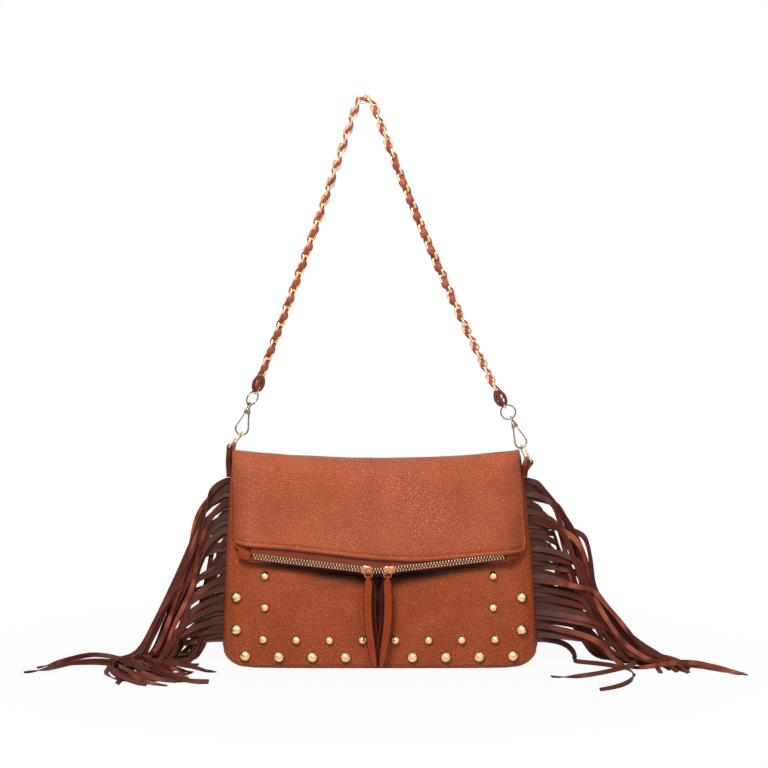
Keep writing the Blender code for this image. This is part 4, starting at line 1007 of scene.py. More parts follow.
    def column(self, u: float, outer: bool) -> list[Vector]:
        """Mid-surface points of a panel at a column, from the base seam to the mouth.

        Args:
            u: -1 at the left seam to 1 at the right one.
            outer: Whether it is the back panel, which ends as the flap's face.

        Returns:
            The points in the strap's frame.
        """
        c = self.bulge(u)
        radius = mix(self.fold_side, self.fold_middle, c)
        centre_z = self.height - self.fold_sag * (1 - u * u) - radius - self.seam_offset - c * self.back_wall[-1][1]
        table, side = (self.back_wall, 1) if outer else (self.front_wall, -1)
        rows = self._wall(u, table, side, centre_z)
        bend = radius + side * (self.seam_offset + c * table[-1][1])
        for degrees in (30, 60, 90, 120, 150, 180):
            turn = math.radians(degrees)
            rows.append((-radius + bend * math.cos(turn), centre_z + bend * math.sin(turn), 1.0))
        fold_y, fold_z = rows[-1][:2]
        centre, half = self.spread(2)
        x = centre + u * half
        mouth = self.mouth_point(x, half)
        lip = self.tape / 2 + self.clearance + self.leather / 2
        reach = min(1.0, max(0.0, (half - abs(x - centre)) / (half - self.zip_half)))
        if outer:
            end_y, end_z = mouth.y - lip - self.flap_standoff * reach, self.flap_edge(x)
            end_y -= self.slider_room * bell(x, self.slider_stop, 0.016)
            corner = max(0.0, self.flap_corner - half + abs(x - centre))
            end_z += self.flap_corner - math.sqrt(max(0.0, self.flap_corner ** 2 - corner ** 2))
            for share in (0.25, 0.5, 0.75, 0.88, 0.945, 0.978, 1.0):
                rows.append((mix(fold_y, end_y, share ** 0.8), mix(fold_z, end_z, share), 1 + share))
        else:
            for height, depth in ((0.040, 0.0085), (0.014, 0.0065), (0.002, self.flap_tuck + 0.0006),
                                  (-0.0026, self.flap_tuck), (-0.0044, lip + 0.0002), (-0.0056, lip)):
                if height < 0.01:
                    height = mix(0.0060 + (height + 0.0066) * 0.2, height, ease(reach, 0.1, 0.9))
                rows.append((mouth.y + mix(lip, depth, reach), mouth.z + height,
                             mix(2.0, 1.0, max(0.0, height) / 0.085)))
        points = []
        for y, z, share in rows:
            centre, half = self.spread(share)
            points.append(placed(centre + u * half, y, z))
        return points


POUCH = PouchShape()
# The back panel's leather is the flap's face where its Y is below this
FLAP_Y = -0.008


def travelled(line: np.ndarray) -> np.ndarray:
    """The distance along a line of points at each of them."""
    return np.concatenate([[0.0], np.cumsum(np.linalg.norm(np.diff(line, axis=0), axis=1))])


class LeatherSheet:
    """A sheet of leather on a grid of points, with a rounded rim all round."""

    # How far the rim stands out of the sheet's edge, as a share of the leather's thickness
    RIM = 0.42

    def __init__(self, grid: np.ndarray, outward: Vector) -> None:
        """Takes the mid-surface.

        Args:
            grid: Points by column and row.
            outward: A direction that the sheet's first wall faces.
        """
        self.grid = grid
        self.outward = outward
        self.normals = self._normals()

    def _normals(self) -> np.ndarray:
        """Unit normals of the mid-surface, on the outer side."""
        across, along = np.gradient(self.grid, axis=0), np.gradient(self.grid, axis=1)
        normals = np.cross(across, along)
        normals /= np.maximum(np.linalg.norm(normals, axis=2, keepdims=True), 1e-12)
        middle = normals[len(normals) // 2, normals.shape[1] // 4]
        return normals if float(middle @ np.array(self.outward)) > 0 else -normals

    def push(self, depth: Callable[[float, float, float, float], float]) -> None:
        """Moves the sheet along its normals.

        Args:
            depth: The move at a point, from its place in the pouch's frame and its column's share from -1 to 1.
        """
        columns, rows = self.grid.shape[:2]
        for i in range(columns):
            u = 2 * i / (columns - 1) - 1
            for j in range(rows):
                x, y, z = self.grid[i, j] - np.array(POUCH_TO_STRAP)
                self.grid[i, j] += self.normals[i, j] * depth(x, y, z, u)
        self.normals = self._normals()

    def above_mouth(self, distance: float, height: float) -> tuple[list[Vector], list[Vector]]:
        """A line on the sheet's outer face, in from its mouth edge.

        Args:
            distance: How far in from the edge, along the leather.
            height: How far above the mid-surface.

        Returns:
            The line's points, and the normals there.
        """
        points, facing = [], []
        for line, normal in zip(self.grid[:, ::-1], self.normals[:, ::-1]):
            reach = travelled(line)
            k = int(np.searchsorted(reach, distance))
            share = (distance - reach[k - 1]) / max(reach[k] - reach[k - 1], 1e-9)
            at = line[k - 1] + (line[k] - line[k - 1]) * share
            points.append(Vector(at + normal[k] * height))
            facing.append(Vector(normal[k]))
        return points, facing

    def mesh(self, outer: Callable[[float, float, float], float], inner: float) -> Mesh:
        """The sheet as a closed mesh.

        Args:
            outer: The wall outside the mid-surface, from the place in the pouch's frame.
            inner: The wall inside it.

        Returns:
            The mesh.
        """
        columns, rows = self.grid.shape[:2]
        flat, normals = self.grid.reshape(-1, 3), self.normals.reshape(-1, 3)
        shift = np.array(POUCH_TO_STRAP)
        walls = np.array([outer(*(p - shift)) for p in flat])
        edge = ([(i, 0) for i in range(columns)] + [(columns - 1, j) for j in range(1, rows)]
                + [(i, rows - 1) for i in range(columns - 2, -1, -1)] + [(0, j) for j in range(rows - 2, 0, -1)])
        rim = []
        for i, j in edge:
            inward = self.grid[min(max(i, 1), columns - 2), min(max(j, 1), rows - 2)]
            away = self.grid[i, j] - inward
            away -= self.normals[i, j] * (away @ self.normals[i, j])
            wall = walls[i * rows + j]
            rim.append(self.grid[i, j] + away / max(np.linalg.norm(away), 1e-9) * (wall + inner) * self.RIM
                       + self.normals[i, j] * (wall - inner) / 2)
        count = columns * rows
        points = np.concatenate([flat + normals * walls[:, None], flat - normals * inner, np.array(rim)])
        faces = []
        for i in range(columns - 1):
            for j in range(rows - 1):
                a, b, c, d = i * rows + j, (i + 1) * rows + j, (i + 1) * rows + j + 1, i * rows + j + 1
                faces += [(a, b, c, d), (d + count, c + count, b + count, a + count)]
        for k in range(len(edge)):
            (i, j), (m, n) = edge[k], edge[(k + 1) % len(edge)]
            here, there = i * rows + j, m * rows + n
            rim_here, rim_there = 2 * count + k, 2 * count + (k + 1) % len(edge)
            faces += [(there, here, rim_here, rim_there),
                      (rim_there, rim_here, here + count, there + count)]
        bm = bmesh.new()
        verts = [bm.verts.new(p) for p in points]
        for face in faces:
            bm.faces.new([verts[k] for k in face])
        return mesh_of(bm)


@dataclass
class Pouch:
    """The folded leather pouch: both panels, the welt in the seams and the topstitching."""

    columns: int = 121
    steps: int = 5
    turned_edge: float = 0.0013
    stitch_inset: float = 0.0042
    stitch_pitch: float = 0.0034
    stitch_length: float = 0.0026
    thread: float = 0.00055
    side_welt: float = 0.0010
    base_welt: float = 0.0008
    pucker: float = 0.00055
    pucker_pitch: float = 0.011
    ripple: float = 0.00035
    ripple_pitch: float = 0.0062
    # Soft folds, each with its height, its place across and its width
    flap_folds: tuple[Fold, ...] = ((0.0020, -0.024, 0.016), (-0.0022, 0.002, 0.011), (0.0014, 0.050, 0.026),
                                    (-0.0010, -0.080, 0.030))
    front_folds: tuple[Fold, ...] = ((0.0016, -0.030, 0.012), (0.0016, 0.028, 0.012), (-0.0024, -0.001, 0.013))

    def _sheet(self, outer: bool) -> LeatherSheet:
        """The mid-surface of a panel, before it is softened."""
        grid = []
        for i in range(self.columns):
            u = math.sin(math.pi / 2 * (2 * i / (self.columns - 1) - 1))
            u = mix(2 * i / (self.columns - 1) - 1, u, 0.6)
            grid.append(smooth_points(POUCH.column(u, outer), self.steps))
        return LeatherSheet(np.array(grid, float), -FRONT if outer else FRONT)

    @staticmethod
    def _folds(x: float, folds: Sequence[Fold]) -> float:
        """The height of several soft folds at a place across."""
        return sum(height * bell(x, centre, width) for height, centre, width in folds)

    def _soft(self, x: float, y: float, z: float, u: float) -> float:
        """Softness of worn-in leather: slow swells, the flap's upright ridge, and puckers by the side seams."""
        free = 1 - abs(u) ** 6
        depth = 0.0009 * noise.noise(Vector((x * 14, y * 14, z * 12))) + 0.00035 * noise.noise(Vector((x, y, z)) * 46)
        if y < -0.011 and z > 0.112:
            depth += ease(z, 0.118, 0.150) * (1 - ease(z, 0.185, 0.205)) * self._folds(x, self.flap_folds)
        seam = ease(abs(u), 0.72, 0.93) * (1 - ease(abs(u), 0.97, 1.0))
        depth += self.pucker * seam * math.sin(z * 2 * math.pi / self.pucker_pitch + 1.7 * math.sin(z * 90))
        if y < 0 and z < 0.11:
            ripple = math.sin(z * 2 * math.pi / self.ripple_pitch + 22 * x)
            depth += self.ripple * ease(abs(x), 0.075, 0.13) * ripple
            depth += self._folds(x, self.front_folds) * ease(z, 0.02, 0.07)
        return depth * free * ease(z, 0.004, 0.02)

    def build(self, workshop: Workshop) -> BVHTree:
        """Builds the leather.

        Args:
            workshop: Where finished pieces go.

        Returns:
            The front panel's surface, for the studs to seat on.
        """
        back, front = self._sheet(True), self._sheet(False)
        for sheet in (back, front):
            sheet.push(self._soft)

        def wall(x: float, y: float, z: float) -> float:
            """The leather's outer wall, thicker where the flap's lower edge is turned under."""
            above = z - POUCH.flap_edge(x)
            if y > FLAP_Y:
                return POUCH.leather / 2
            return (POUCH.leather / 2 + self.turned_edge * bell(above, 0.0014, 0.0017)
                    - 0.0005 * bell(above, self.stitch_inset, 0.0008))

        back_mesh = back.mesh(wall, POUCH.leather / 2)
        # Painted sheen on the flap's face
        mark(back_mesh, "rubbed", [self._rubbed(*(v.co - POUCH_TO_STRAP)) for v in back_mesh.vertices])
        # Painted shade: a faint darker upright band down the flap's face, along the shade of its soft crease
        mark(back_mesh, "grime", [0.11 * bell(v.co.x - POUCH_TO_STRAP.x, -0.010, 0.010)
                                  * (v.co.y < FLAP_Y + POUCH_TO_STRAP.y) for v in back_mesh.vertices])
        front_mesh = front.mesh(lambda x, y, z: POUCH.leather / 2, POUCH.leather / 2)
        # Painted shade on the front panel: under the mouth's overhang and between the pulls
        mark(front_mesh, "grime", [self._grime(*(v.co - POUCH_TO_STRAP).xz) for v in front_mesh.vertices])
        workshop.piece("pouch_back_and_flap", back_mesh, Finish.BODY_LEATHER, "bag", ["back_panel"])
        front_piece = workshop.piece("pouch_front", front_mesh, Finish.FRONT_LEATHER, "bag", ["front_panel"])
        self._welts(workshop, back, front)
        self._topstitch(workshop, back)
        bm = bmesh.new()
        bm.from_mesh(front_piece.data)
        surface = BVHTree.FromBMesh(bm)
        bm.free()
        return surface

    @staticmethod
    def _rubbed(x: float, y: float, z: float) -> float:
        """A painted sheen on the flap's face, a lighter, pinker tone on the pebbles' crowns: beside its upright ridge,
        and a little along its edges.
        """
        if y > FLAP_Y:
            return 0.0
        patch = bell(x, 0.040 - (z - 0.16) * 0.6, 0.030) * bell(z, 0.168, 0.034)
        ridge = 0.5 * bell(x, -0.128, 0.006) + 0.35 * bell(x, -0.020, 0.010) * bell(z, 0.165, 0.03)
        return min(1.0, 0.52 * patch + 0.6 * ridge + 0.26 * bell(x, -0.035, 0.03) * bell(z, 0.135, 0.016))

    @staticmethod
    def _grime(x: float, z: float) -> float:
        """Painted shade: how dark the leather is painted in the shadow under the mouth's overhang and in the shadow
        behind and between the pulls.
        """
        below, aside = POUCH.zip_point(x).z - z, abs(x - POUCH.zip_middle)
        depth = mix(0.018, 0.010, ease(aside, 0.02, 0.11))
        # Painted shadow under the mouth's overhang, deepest in the middle
        tucked = ease(below, -0.0005, 0.0012) * (1 - ease(below, depth * 0.60, depth * 1.30))
        tucked *= 1 - ease(aside, 0.10, 0.135)
        # Painted shade in a narrow upright band between the pulls, where they shade the front panel
        between = bell(x, POUCH.zip_middle + 0.0005, 0.0050) * ease(z, 0.004, 0.03)
        return 0.97 * max(tucked, between) if z < 0.115 else 0.0

    def _welts(self, workshop: Workshop, back: LeatherSheet, front: LeatherSheet) -> None:
        """The strips sewn between the panels, round the sides and along the base."""
        welts = []
        for column in (0, -1):
            lines = []
            for sheet in (back, front):
                line = sheet.grid[column]
                reach = travelled(line)
                reach /= reach[-1]
                lines.append(np.array([[np.interp(s, reach, line[:, k]) for k in range(3)]
                                       for s in np.linspace(0, 1, 120)]))
            path = [Vector(p) for p in (lines[0] + lines[1]) / 2]
            welts.append(tube(path, ACROSS, self.side_welt, 8))
        base = [Vector((back.grid[i, 0] + front.grid[i, 0]) / 2) for i in range(0, self.columns, 2)]
        welts.append(tube(base, -FRONT, self.base_welt, 8))
        workshop.piece("seam_welts", joined(welts), Finish.WELT, "bag")

    def _topstitch(self, workshop: Workshop, back: LeatherSheet) -> None:
        """The row of stitches above the flap's lower edge."""
        points, normals = back.above_mouth(self.stitch_inset, POUCH.leather / 2 + 0.0005)
        row = workshop.stitches([points[3:-3]], [normals[3:-3]], self.stitch_pitch, self.stitch_length, self.thread)
        workshop.piece("flap_stitches", row, Finish.THREAD, "bag")


@dataclass
class Zip:
    """The zip in the mouth: two tapes, two rows of teeth and the folded leather ends."""

    pitch: float = 0.0029
    tooth_reach: float = 0.0023
    tooth_root: float = 0.0008
    row_gap: float = -0.0009
    lip: float = 0.00325
    lower_edge: float = -0.0036
    upper_edge: float = 0.0115
    bite: float = 0.0016
    ripple: float = 0.00012
    stations: int = 160
    end_half: float = 0.0046
    end_ply: float = 0.00125

    def _tooth(self) -> Mesh:
        """One tooth: a rounded head towards the other row and a wider foot clamped on the tape."""
        rings = []
        for y, half, depth in ((-self.tooth_reach, 0.00030, 0.00065), (-self.tooth_reach + 0.0003, 0.00052, 0.00105),
                               (-self.tooth_reach * 0.45, 0.00042, 0.00110), (0.0, 0.00066, 0.00115),
                               (self.tooth_root, 0.00052, 0.00085)):
            rings.append([Vector((a * half, y, b * depth)) for a, b in
                          ((-1, -0.6), (-0.7, -1), (0.7, -1), (1, -0.6), (1, 0.6), (0.7, 1), (-0.7, 1), (-1, 0.6))])
        return loft(rings)

    def build(self, workshop: Workshop) -> None:
        """Builds the zip's fixed pieces."""
        for name, low, high in (("upper", self.lip - self.bite, self.upper_edge),
                                ("lower", self.lower_edge, -self.lip + self.bite)):
            workshop.piece(f"zip_tape_{name}_woven", self._tape(low, high), Finish.ZIP_TAPE, "bag",
                           [f"zip_tape_{name}"])
        for name, side, shift in (("upper", 1, 0.0), ("lower", -1, self.pitch / 2)):
            workshop.piece(f"zip_teeth_{name}_cast", self._row(workshop, side, shift), Finish.PALE_GOLD, "bag",
                           [f"zip_teeth_{name}"])
        for side in Side:
            self._end(workshop, side)

    def _tape(self, low: float, high: float) -> Mesh:
        """A tape between two heights off the teeth's line, its outer face a little rippled."""
        rings = []
        for i in range(self.stations + 1):
            x = POUCH.zip_middle + mix(-POUCH.zip_half, POUCH.zip_half, i / self.stations)
            _, up, out = POUCH.zip_frame(x)
            base, shares = POUCH.zip_point(x) + POUCH_TO_STRAP, (0.0, 0.33, 0.67, 1.0)
            front = [base + up * mix(low, high, share)
                     + out * (self.ripple * math.sin(x * 620 + share * 2) * (0 < share < 1) + POUCH.tape / 2)
                     for share in shares]
            rings.append(front + [base + up * mix(low, high, share) - out * (POUCH.tape / 2)
                                  for share in reversed(shares)])
        return loft(rings)

    def _row(self, workshop: Workshop, side: int, shift: float) -> Mesh:
        """The teeth above, 1, or below, -1, the line, moved along it by a shift."""
        count = int((2 * POUCH.zip_half - self.pitch) / self.pitch)
        points, facing, heading = [], [], []
        for k in range(count):
            x = POUCH.zip_middle - count * self.pitch / 2 + shift + (k + 0.5) * self.pitch
            along, up, out = POUCH.zip_frame(x)
            points.append(POUCH.zip_point(x) + POUCH_TO_STRAP + up * (side * (self.row_gap / 2 + self.tooth_reach)))
            facing.append(out)
            heading.append(along * side)
        return workshop.copies(self._tooth(), points, facing, heading, [1.0] * count, Finish.PALE_GOLD)

    def _end(self, workshop: Workshop, side: Side) -> None:
        """The folded leather that closes the zip at a side, fuller in the middle than at its ends."""
        _, half = POUCH.spread(2)
        rings = []
        for distance, tall, thick in ((0.0, 0.70, 0.7), (0.0004, 0.90, 0.95), (0.0014, 1.0, 1.0), (0.0045, 1.02, 1.05),
                                      (0.0078, 1.0, 0.95), (0.0100, 0.92, 0.72), (0.0114, 0.78, 0.5),
                                      (0.0122, 0.55, 0.3)):
            x = POUCH.zip_middle + side.value * (POUCH.zip_half + POUCH.clearance + distance)
            point = POUCH.mouth_point(x, half) + POUCH_TO_STRAP
            _, up, _ = POUCH.zip_frame(x)
            along = (POUCH.mouth_point(x + 1e-4, half) - POUCH.mouth_point(x - 1e-4, half)).normalized()
            out = along.cross(up).normalized()
            rings.append([point + up * (squared(math.cos(turn), 0.6) * self.end_half * tall)
                          + out * (squared(math.sin(turn), 0.8) * self.end_ply * thick + 0.0001)
                          for turn in turns(16)])
        workshop.sided("zip_end", side, "folded", loft(rings), Finish.PULL_LEATHER, "bag")


@dataclass
class Slider:
    """One slider with its ring and folded leather pull."""

    side: Side
    offset: float = 0.0110
    inset: float = 0.0020
    length: float = 0.0110
    half_height: float = 0.0041
    wall: tuple[float, float] = (0.0033, 0.0040)
    wall_half: float = 0.0045
    face: float = 0.0023
    gap: float = 0.0003
    bail_wire: float = 0.0011
    ring_width: float = 0.0082
    ring_height: float = 0.0084
    ring_corner: float = 0.0026
    ring_wire: float = 0.0011
    pull_length: float = 0.088
    ply: float = 0.0013
    yaw: float = math.radians(14)
    rear_shift: float = 0.0030
    ply_gap: float = 0.00015
    # The strap's width at distances from the ring
    pull_widths: Table = ((0.0, 0.0042), (0.0031, 0.0072), (0.008, 0.0086), (0.030, 0.0092), (0.060, 0.0090),
                          (0.074, 0.0082), (0.082, 0.0068), (0.088, 0.0046))

    def build(self, workshop: Workshop) -> None:
        """Builds the slider, its ring and its pull."""
        sign = self.side.value
        x = POUCH.zip_middle + sign * self.offset
        along, up, out = POUCH.zip_frame(x)
        centre = POUCH.zip_point(x) + POUCH_TO_STRAP
        level = Vector((along.x, along.y, 0)).normalized()
        facing = level.cross(UP).normalized()
        pivot = centre - along * (sign * self.inset) + out * (self.face + self.gap + self.ring_wire / 2 + self.gap)
        workshop.sided("slider", self.side, "cast", self._body(centre, along, up, out), Finish.ROSE_GOLD)
        half, drop = (self.ring_width - self.ring_wire) / 2, self.ring_height - self.ring_wire
        ring = []
        for x_sign, z_sign, start in ((1, 1, 0), (-1, 1, 90), (-1, -1, 180), (1, -1, 270)):
            for degrees in range(start, start + 91, 15):
                turn = math.radians(degrees)
                aside = x_sign * (half - self.ring_corner) + self.ring_corner * math.cos(turn)
                rise = z_sign * (drop / 2 - self.ring_corner) + self.ring_corner * math.sin(turn) - drop / 2
                ring.append(pivot + level * aside + UP * rise)
        workshop.sided("pull_ring", self.side, "wire", tube(ring, facing, self.ring_wire / 2, closed=True),
                       Finish.ROSE_GOLD)
        self._pull(workshop, pivot - UP * drop, level, facing)

    def _body(self, centre: Vector, along: Vector, up: Vector, out: Vector) -> Mesh:
        """The slider's two domed plates, the walls between them and the bail."""
        solids = []
        for face in (1, -1):
            rings = []
            for height, size in ((0.0013, 0.94), (0.0015, 1.0), (0.0020, 1.0), (0.0024, 0.90), (0.0026, 0.66),
                                 (0.0027, 0.30)):
                ring = []
                for turn in turns(24):
                    a = squared(math.cos(turn), 0.55) * self.length / 2
                    b = squared(math.sin(turn), 0.7) * self.half_height
                    narrow = 1 - 0.22 * max(0.0, -b / self.half_height)
                    ring.append(centre + along * (a * size * narrow) + up * (b * size) + out * (face * height))
                rings.append(ring)
            solids.append(loft(rings))
        near, far = self.wall
        for edge in (-1, 1):
            for low, high in ((-0.0016, -0.0006), (0.0006, 0.0016)):
                section = ((near, low), (far, low), (far, high), (near, high))
                solids.append(loft([[centre + along * a + up * (edge * b) + out * d for b, d in section]
                                    for a in (-self.wall_half, self.wall_half)]))
        bail_at = centre - along * (self.side.value * self.inset)
        rise = self.ring_wire + 0.0009 + self.bail_wire / 2
        arch = [bail_at + up * a + out * (self.face + b) for a, b in
                ((-0.0023, -0.0004), (-0.0023, rise * 0.5), (-0.0018, rise * 0.85), (-0.0008, rise * 1.02),
                 (0.0006, rise * 1.02), (0.0014, rise * 0.85), (0.0017, rise * 0.5), (0.0017, -0.0004))]
        solids.append(tube(smooth_points(arch, 4), along, self.bail_wire / 2, 10))
        return joined(solids)

    def _lean(self, drop: float) -> float:
        """How far the strap is off the vertical at a distance from the ring, towards the other pull."""
        share = drop / self.pull_length
        return 0.0066 * share ** 3.2 - 0.0010 * math.sin(math.pi * min(1.0, share * 1.3)) + 0.0004

    def _pull(self, workshop: Workshop, low: Vector, level: Vector, facing: Vector) -> None:
        """The leather strap folded through the ring, its lower third leaning to the other pull."""
        sign = self.side.value
        loop = self.ring_wire / 2 + FOLD_GAP + self.ply / 2
        slit = self.ply_gap + self.ply / 2
        stations = [self.pull_length * share for share in
                    (1.0, 0.985, 0.95, 0.9, 0.84, 0.78, 0.70, 0.62, 0.52, 0.42, 0.32, 0.22, 0.14, 0.09, 0.055, 0.035)]

        def ply_point(drop: float, front: float) -> tuple[Vector, Vector]:
            """Centre and width direction of a ply, turned so that its inner edge comes forward."""
            turn = -sign * self.yaw * ease(drop, 0.004, 0.022)
            wide = (level * math.cos(turn) + facing * math.sin(turn)).normalized()
            normal = (facing * math.cos(turn) - level * math.sin(turn)).normalized()
            aside = self._lean(drop) + (0.0 if front > 0 else self.rear_shift * ease(drop, 0.003, 0.012))
            return low - UP * drop - level * (sign * aside) + normal * (front * slit), wide

        wrap = [(point, level) for point in arc(low, facing, UP, loop, map(math.radians, range(-30, 211, 20)))]
        whole = [ply_point(drop, 1.0) for drop in stations] + wrap + [ply_point(drop, -1.0) for drop in stations[::-1]]
        drops = stations + [0.0] * len(wrap) + stations[::-1]
        mesh = strap_mesh(*zip(*whole), [table_value(self.pull_widths, drop) for drop in drops],
                          [self.ply * (1.0 + 0.12 * bell(drop, self.pull_length, 0.002)) for drop in drops], 0.00008)
        mark(mesh, "painted", PAINTED_SECTION * len(whole))
        mark(mesh, "flesh", FLESH_SECTION * len(whole))
        workshop.sided("pull", self.side, "strap", mesh, Finish.PULL_LEATHER)


@dataclass
class Studs:
    """The dome studs on the pouch's front."""

    rise: float = 0.62
    rim: float = 0.07
    large: float = 0.0114
    small: float = 0.0093

    def build(self, workshop: Workshop, surface: BVHTree) -> None:
        """Seats a dome where each CAD stud is, square to the leather.

        Args:
            workshop: Where finished pieces go.
            surface: The front panel's surface.
        """
        names = sorted(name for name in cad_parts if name.startswith("stud_"))
        points, facing, heading, sizes = [], [], [], []
        for name in names:
            low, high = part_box(name)
            middle = (low + high) / 2
            hit, normal, _, _ = surface.ray_cast(Vector((middle.x, middle.y - 0.1, middle.z)), -FRONT)
            normal = normal if normal.y < 0 else -normal
            points.append(hit - normal * 0.0001)
            facing.append(normal)
            heading.append(normal.orthogonal().normalized())
            sizes.append(self.large if "lower" in name or "outer" in name else self.small)
        levels = [(0.0, 0.44), (0.02, 0.495), (self.rim, 0.5)]
        for turn in map(math.radians, (12, 26, 40, 54, 67, 79, 87)):
            levels.append((self.rim + (self.rise - self.rim) * math.sin(turn), 0.5 * math.cos(turn)))
        rings = [circle(UP * height, ACROSS, -FRONT, radius, 24) for height, radius in levels]
        domes = workshop.copies(loft(rings), points, facing, heading, sizes, Finish.PALE_GOLD)
        workshop.piece("dome_studs", domes, Finish.PALE_GOLD, "bag", names)


@dataclass(frozen=True)
class Strand:
    """The route of one cut strip: its root, where in the bundle it hangs, and how it lies on the ground."""

    root: float
    hang: float
    join: float
    depth: float
    heading: float
    curl: float
    level: float
    length: float
    shade: float
    twist: tuple[float, float, float]
    sway: tuple[float, float]


@dataclass(frozen=True)
class Fall:
    """How a side's fringe hangs: the bundle's outer and inner line, and the ranges its strips are drawn from."""

    outer: Table
    inner: Table
    hang: tuple[float, float]
    low_hang: float
    join: tuple[float, float]
    heading: tuple[float, float]
    curl: tuple[float, float]
    ground: tuple[float, float]
    limit: float
    far: tuple[float, float]
    heroes: dict[int, tuple[float, float, float]]
    low_length: float

    def away(self, height: float, hang: float) -> float:
        """Distance out of the seam at a height, between the bundle's inner, 0, and outer line, 1."""
        return mix(table_value(self.inner, height), table_value(self.outer, height), hang)


# Heights rise along each line; then per strip number: place in the bundle, heading and curl in degrees
FALLS = {
    Side.LEFT: Fall(((0.0, 0.096), (0.027, 0.083), (0.087, 0.053), (0.131, 0.034), (0.166, 0.022), (0.180, 0.014),
                     (0.188, 0.004)),
                    ((0.0, 0.028), (0.020, 0.018), (0.070, 0.009), (0.150, 0.006), (0.188, 0.0)),
                    (0.50, 1.0), 0.58, (0.022, 0.090), (-56.0, 24.0), (0.0, 270.0), (-0.120, 0.034), 0.118,
                    (0.150, 0.178), {7: (0.50, -24.0, 26.0), 11: (0.60, -14.0, 20.0), 15: (0.85, -6.0, 14.0),
                                     20: (0.78, 10.0, -14.0), 31: (1.0, -8.0, -150.0), 34: (0.94, 4.0, -190.0)}, 0.94),
    Side.RIGHT: Fall(((0.0, 0.160), (0.008, 0.132), (0.021, 0.111), (0.0545, 0.087), (0.0695, 0.072), (0.081, 0.067),
                      (0.1106, 0.061), (0.134, 0.052), (0.158, 0.038), (0.176, 0.021), (0.188, 0.006)),
                     ((0.0, 0.062), (0.030, 0.046), (0.060, 0.034), (0.100, 0.024), (0.140, 0.015), (0.188, 0.0)),
                     (0.42, 1.0), 0.80, (0.008, 0.034), (-34.0, 4.0), (-50.0, 70.0), (-0.104, 0.014), 0.154,
                     (0.164, 0.191), {0: (-0.25, -24.0, -120.0), 2: (0.10, -20.0, -190.0), 3: (0.30, -30.0, 24.0),
                                      5: (0.45, -22.0, 12.0), 13: (0.9, -20.0, 14.0), 18: (0.86, -12.0, 0.0),
                                      25: (0.96, -20.0, 4.0)}, 0.70),
}
# A numbered strip that turns less than this, in degrees, is one of those that trail far from the bag
FAR_TURN = 30.0


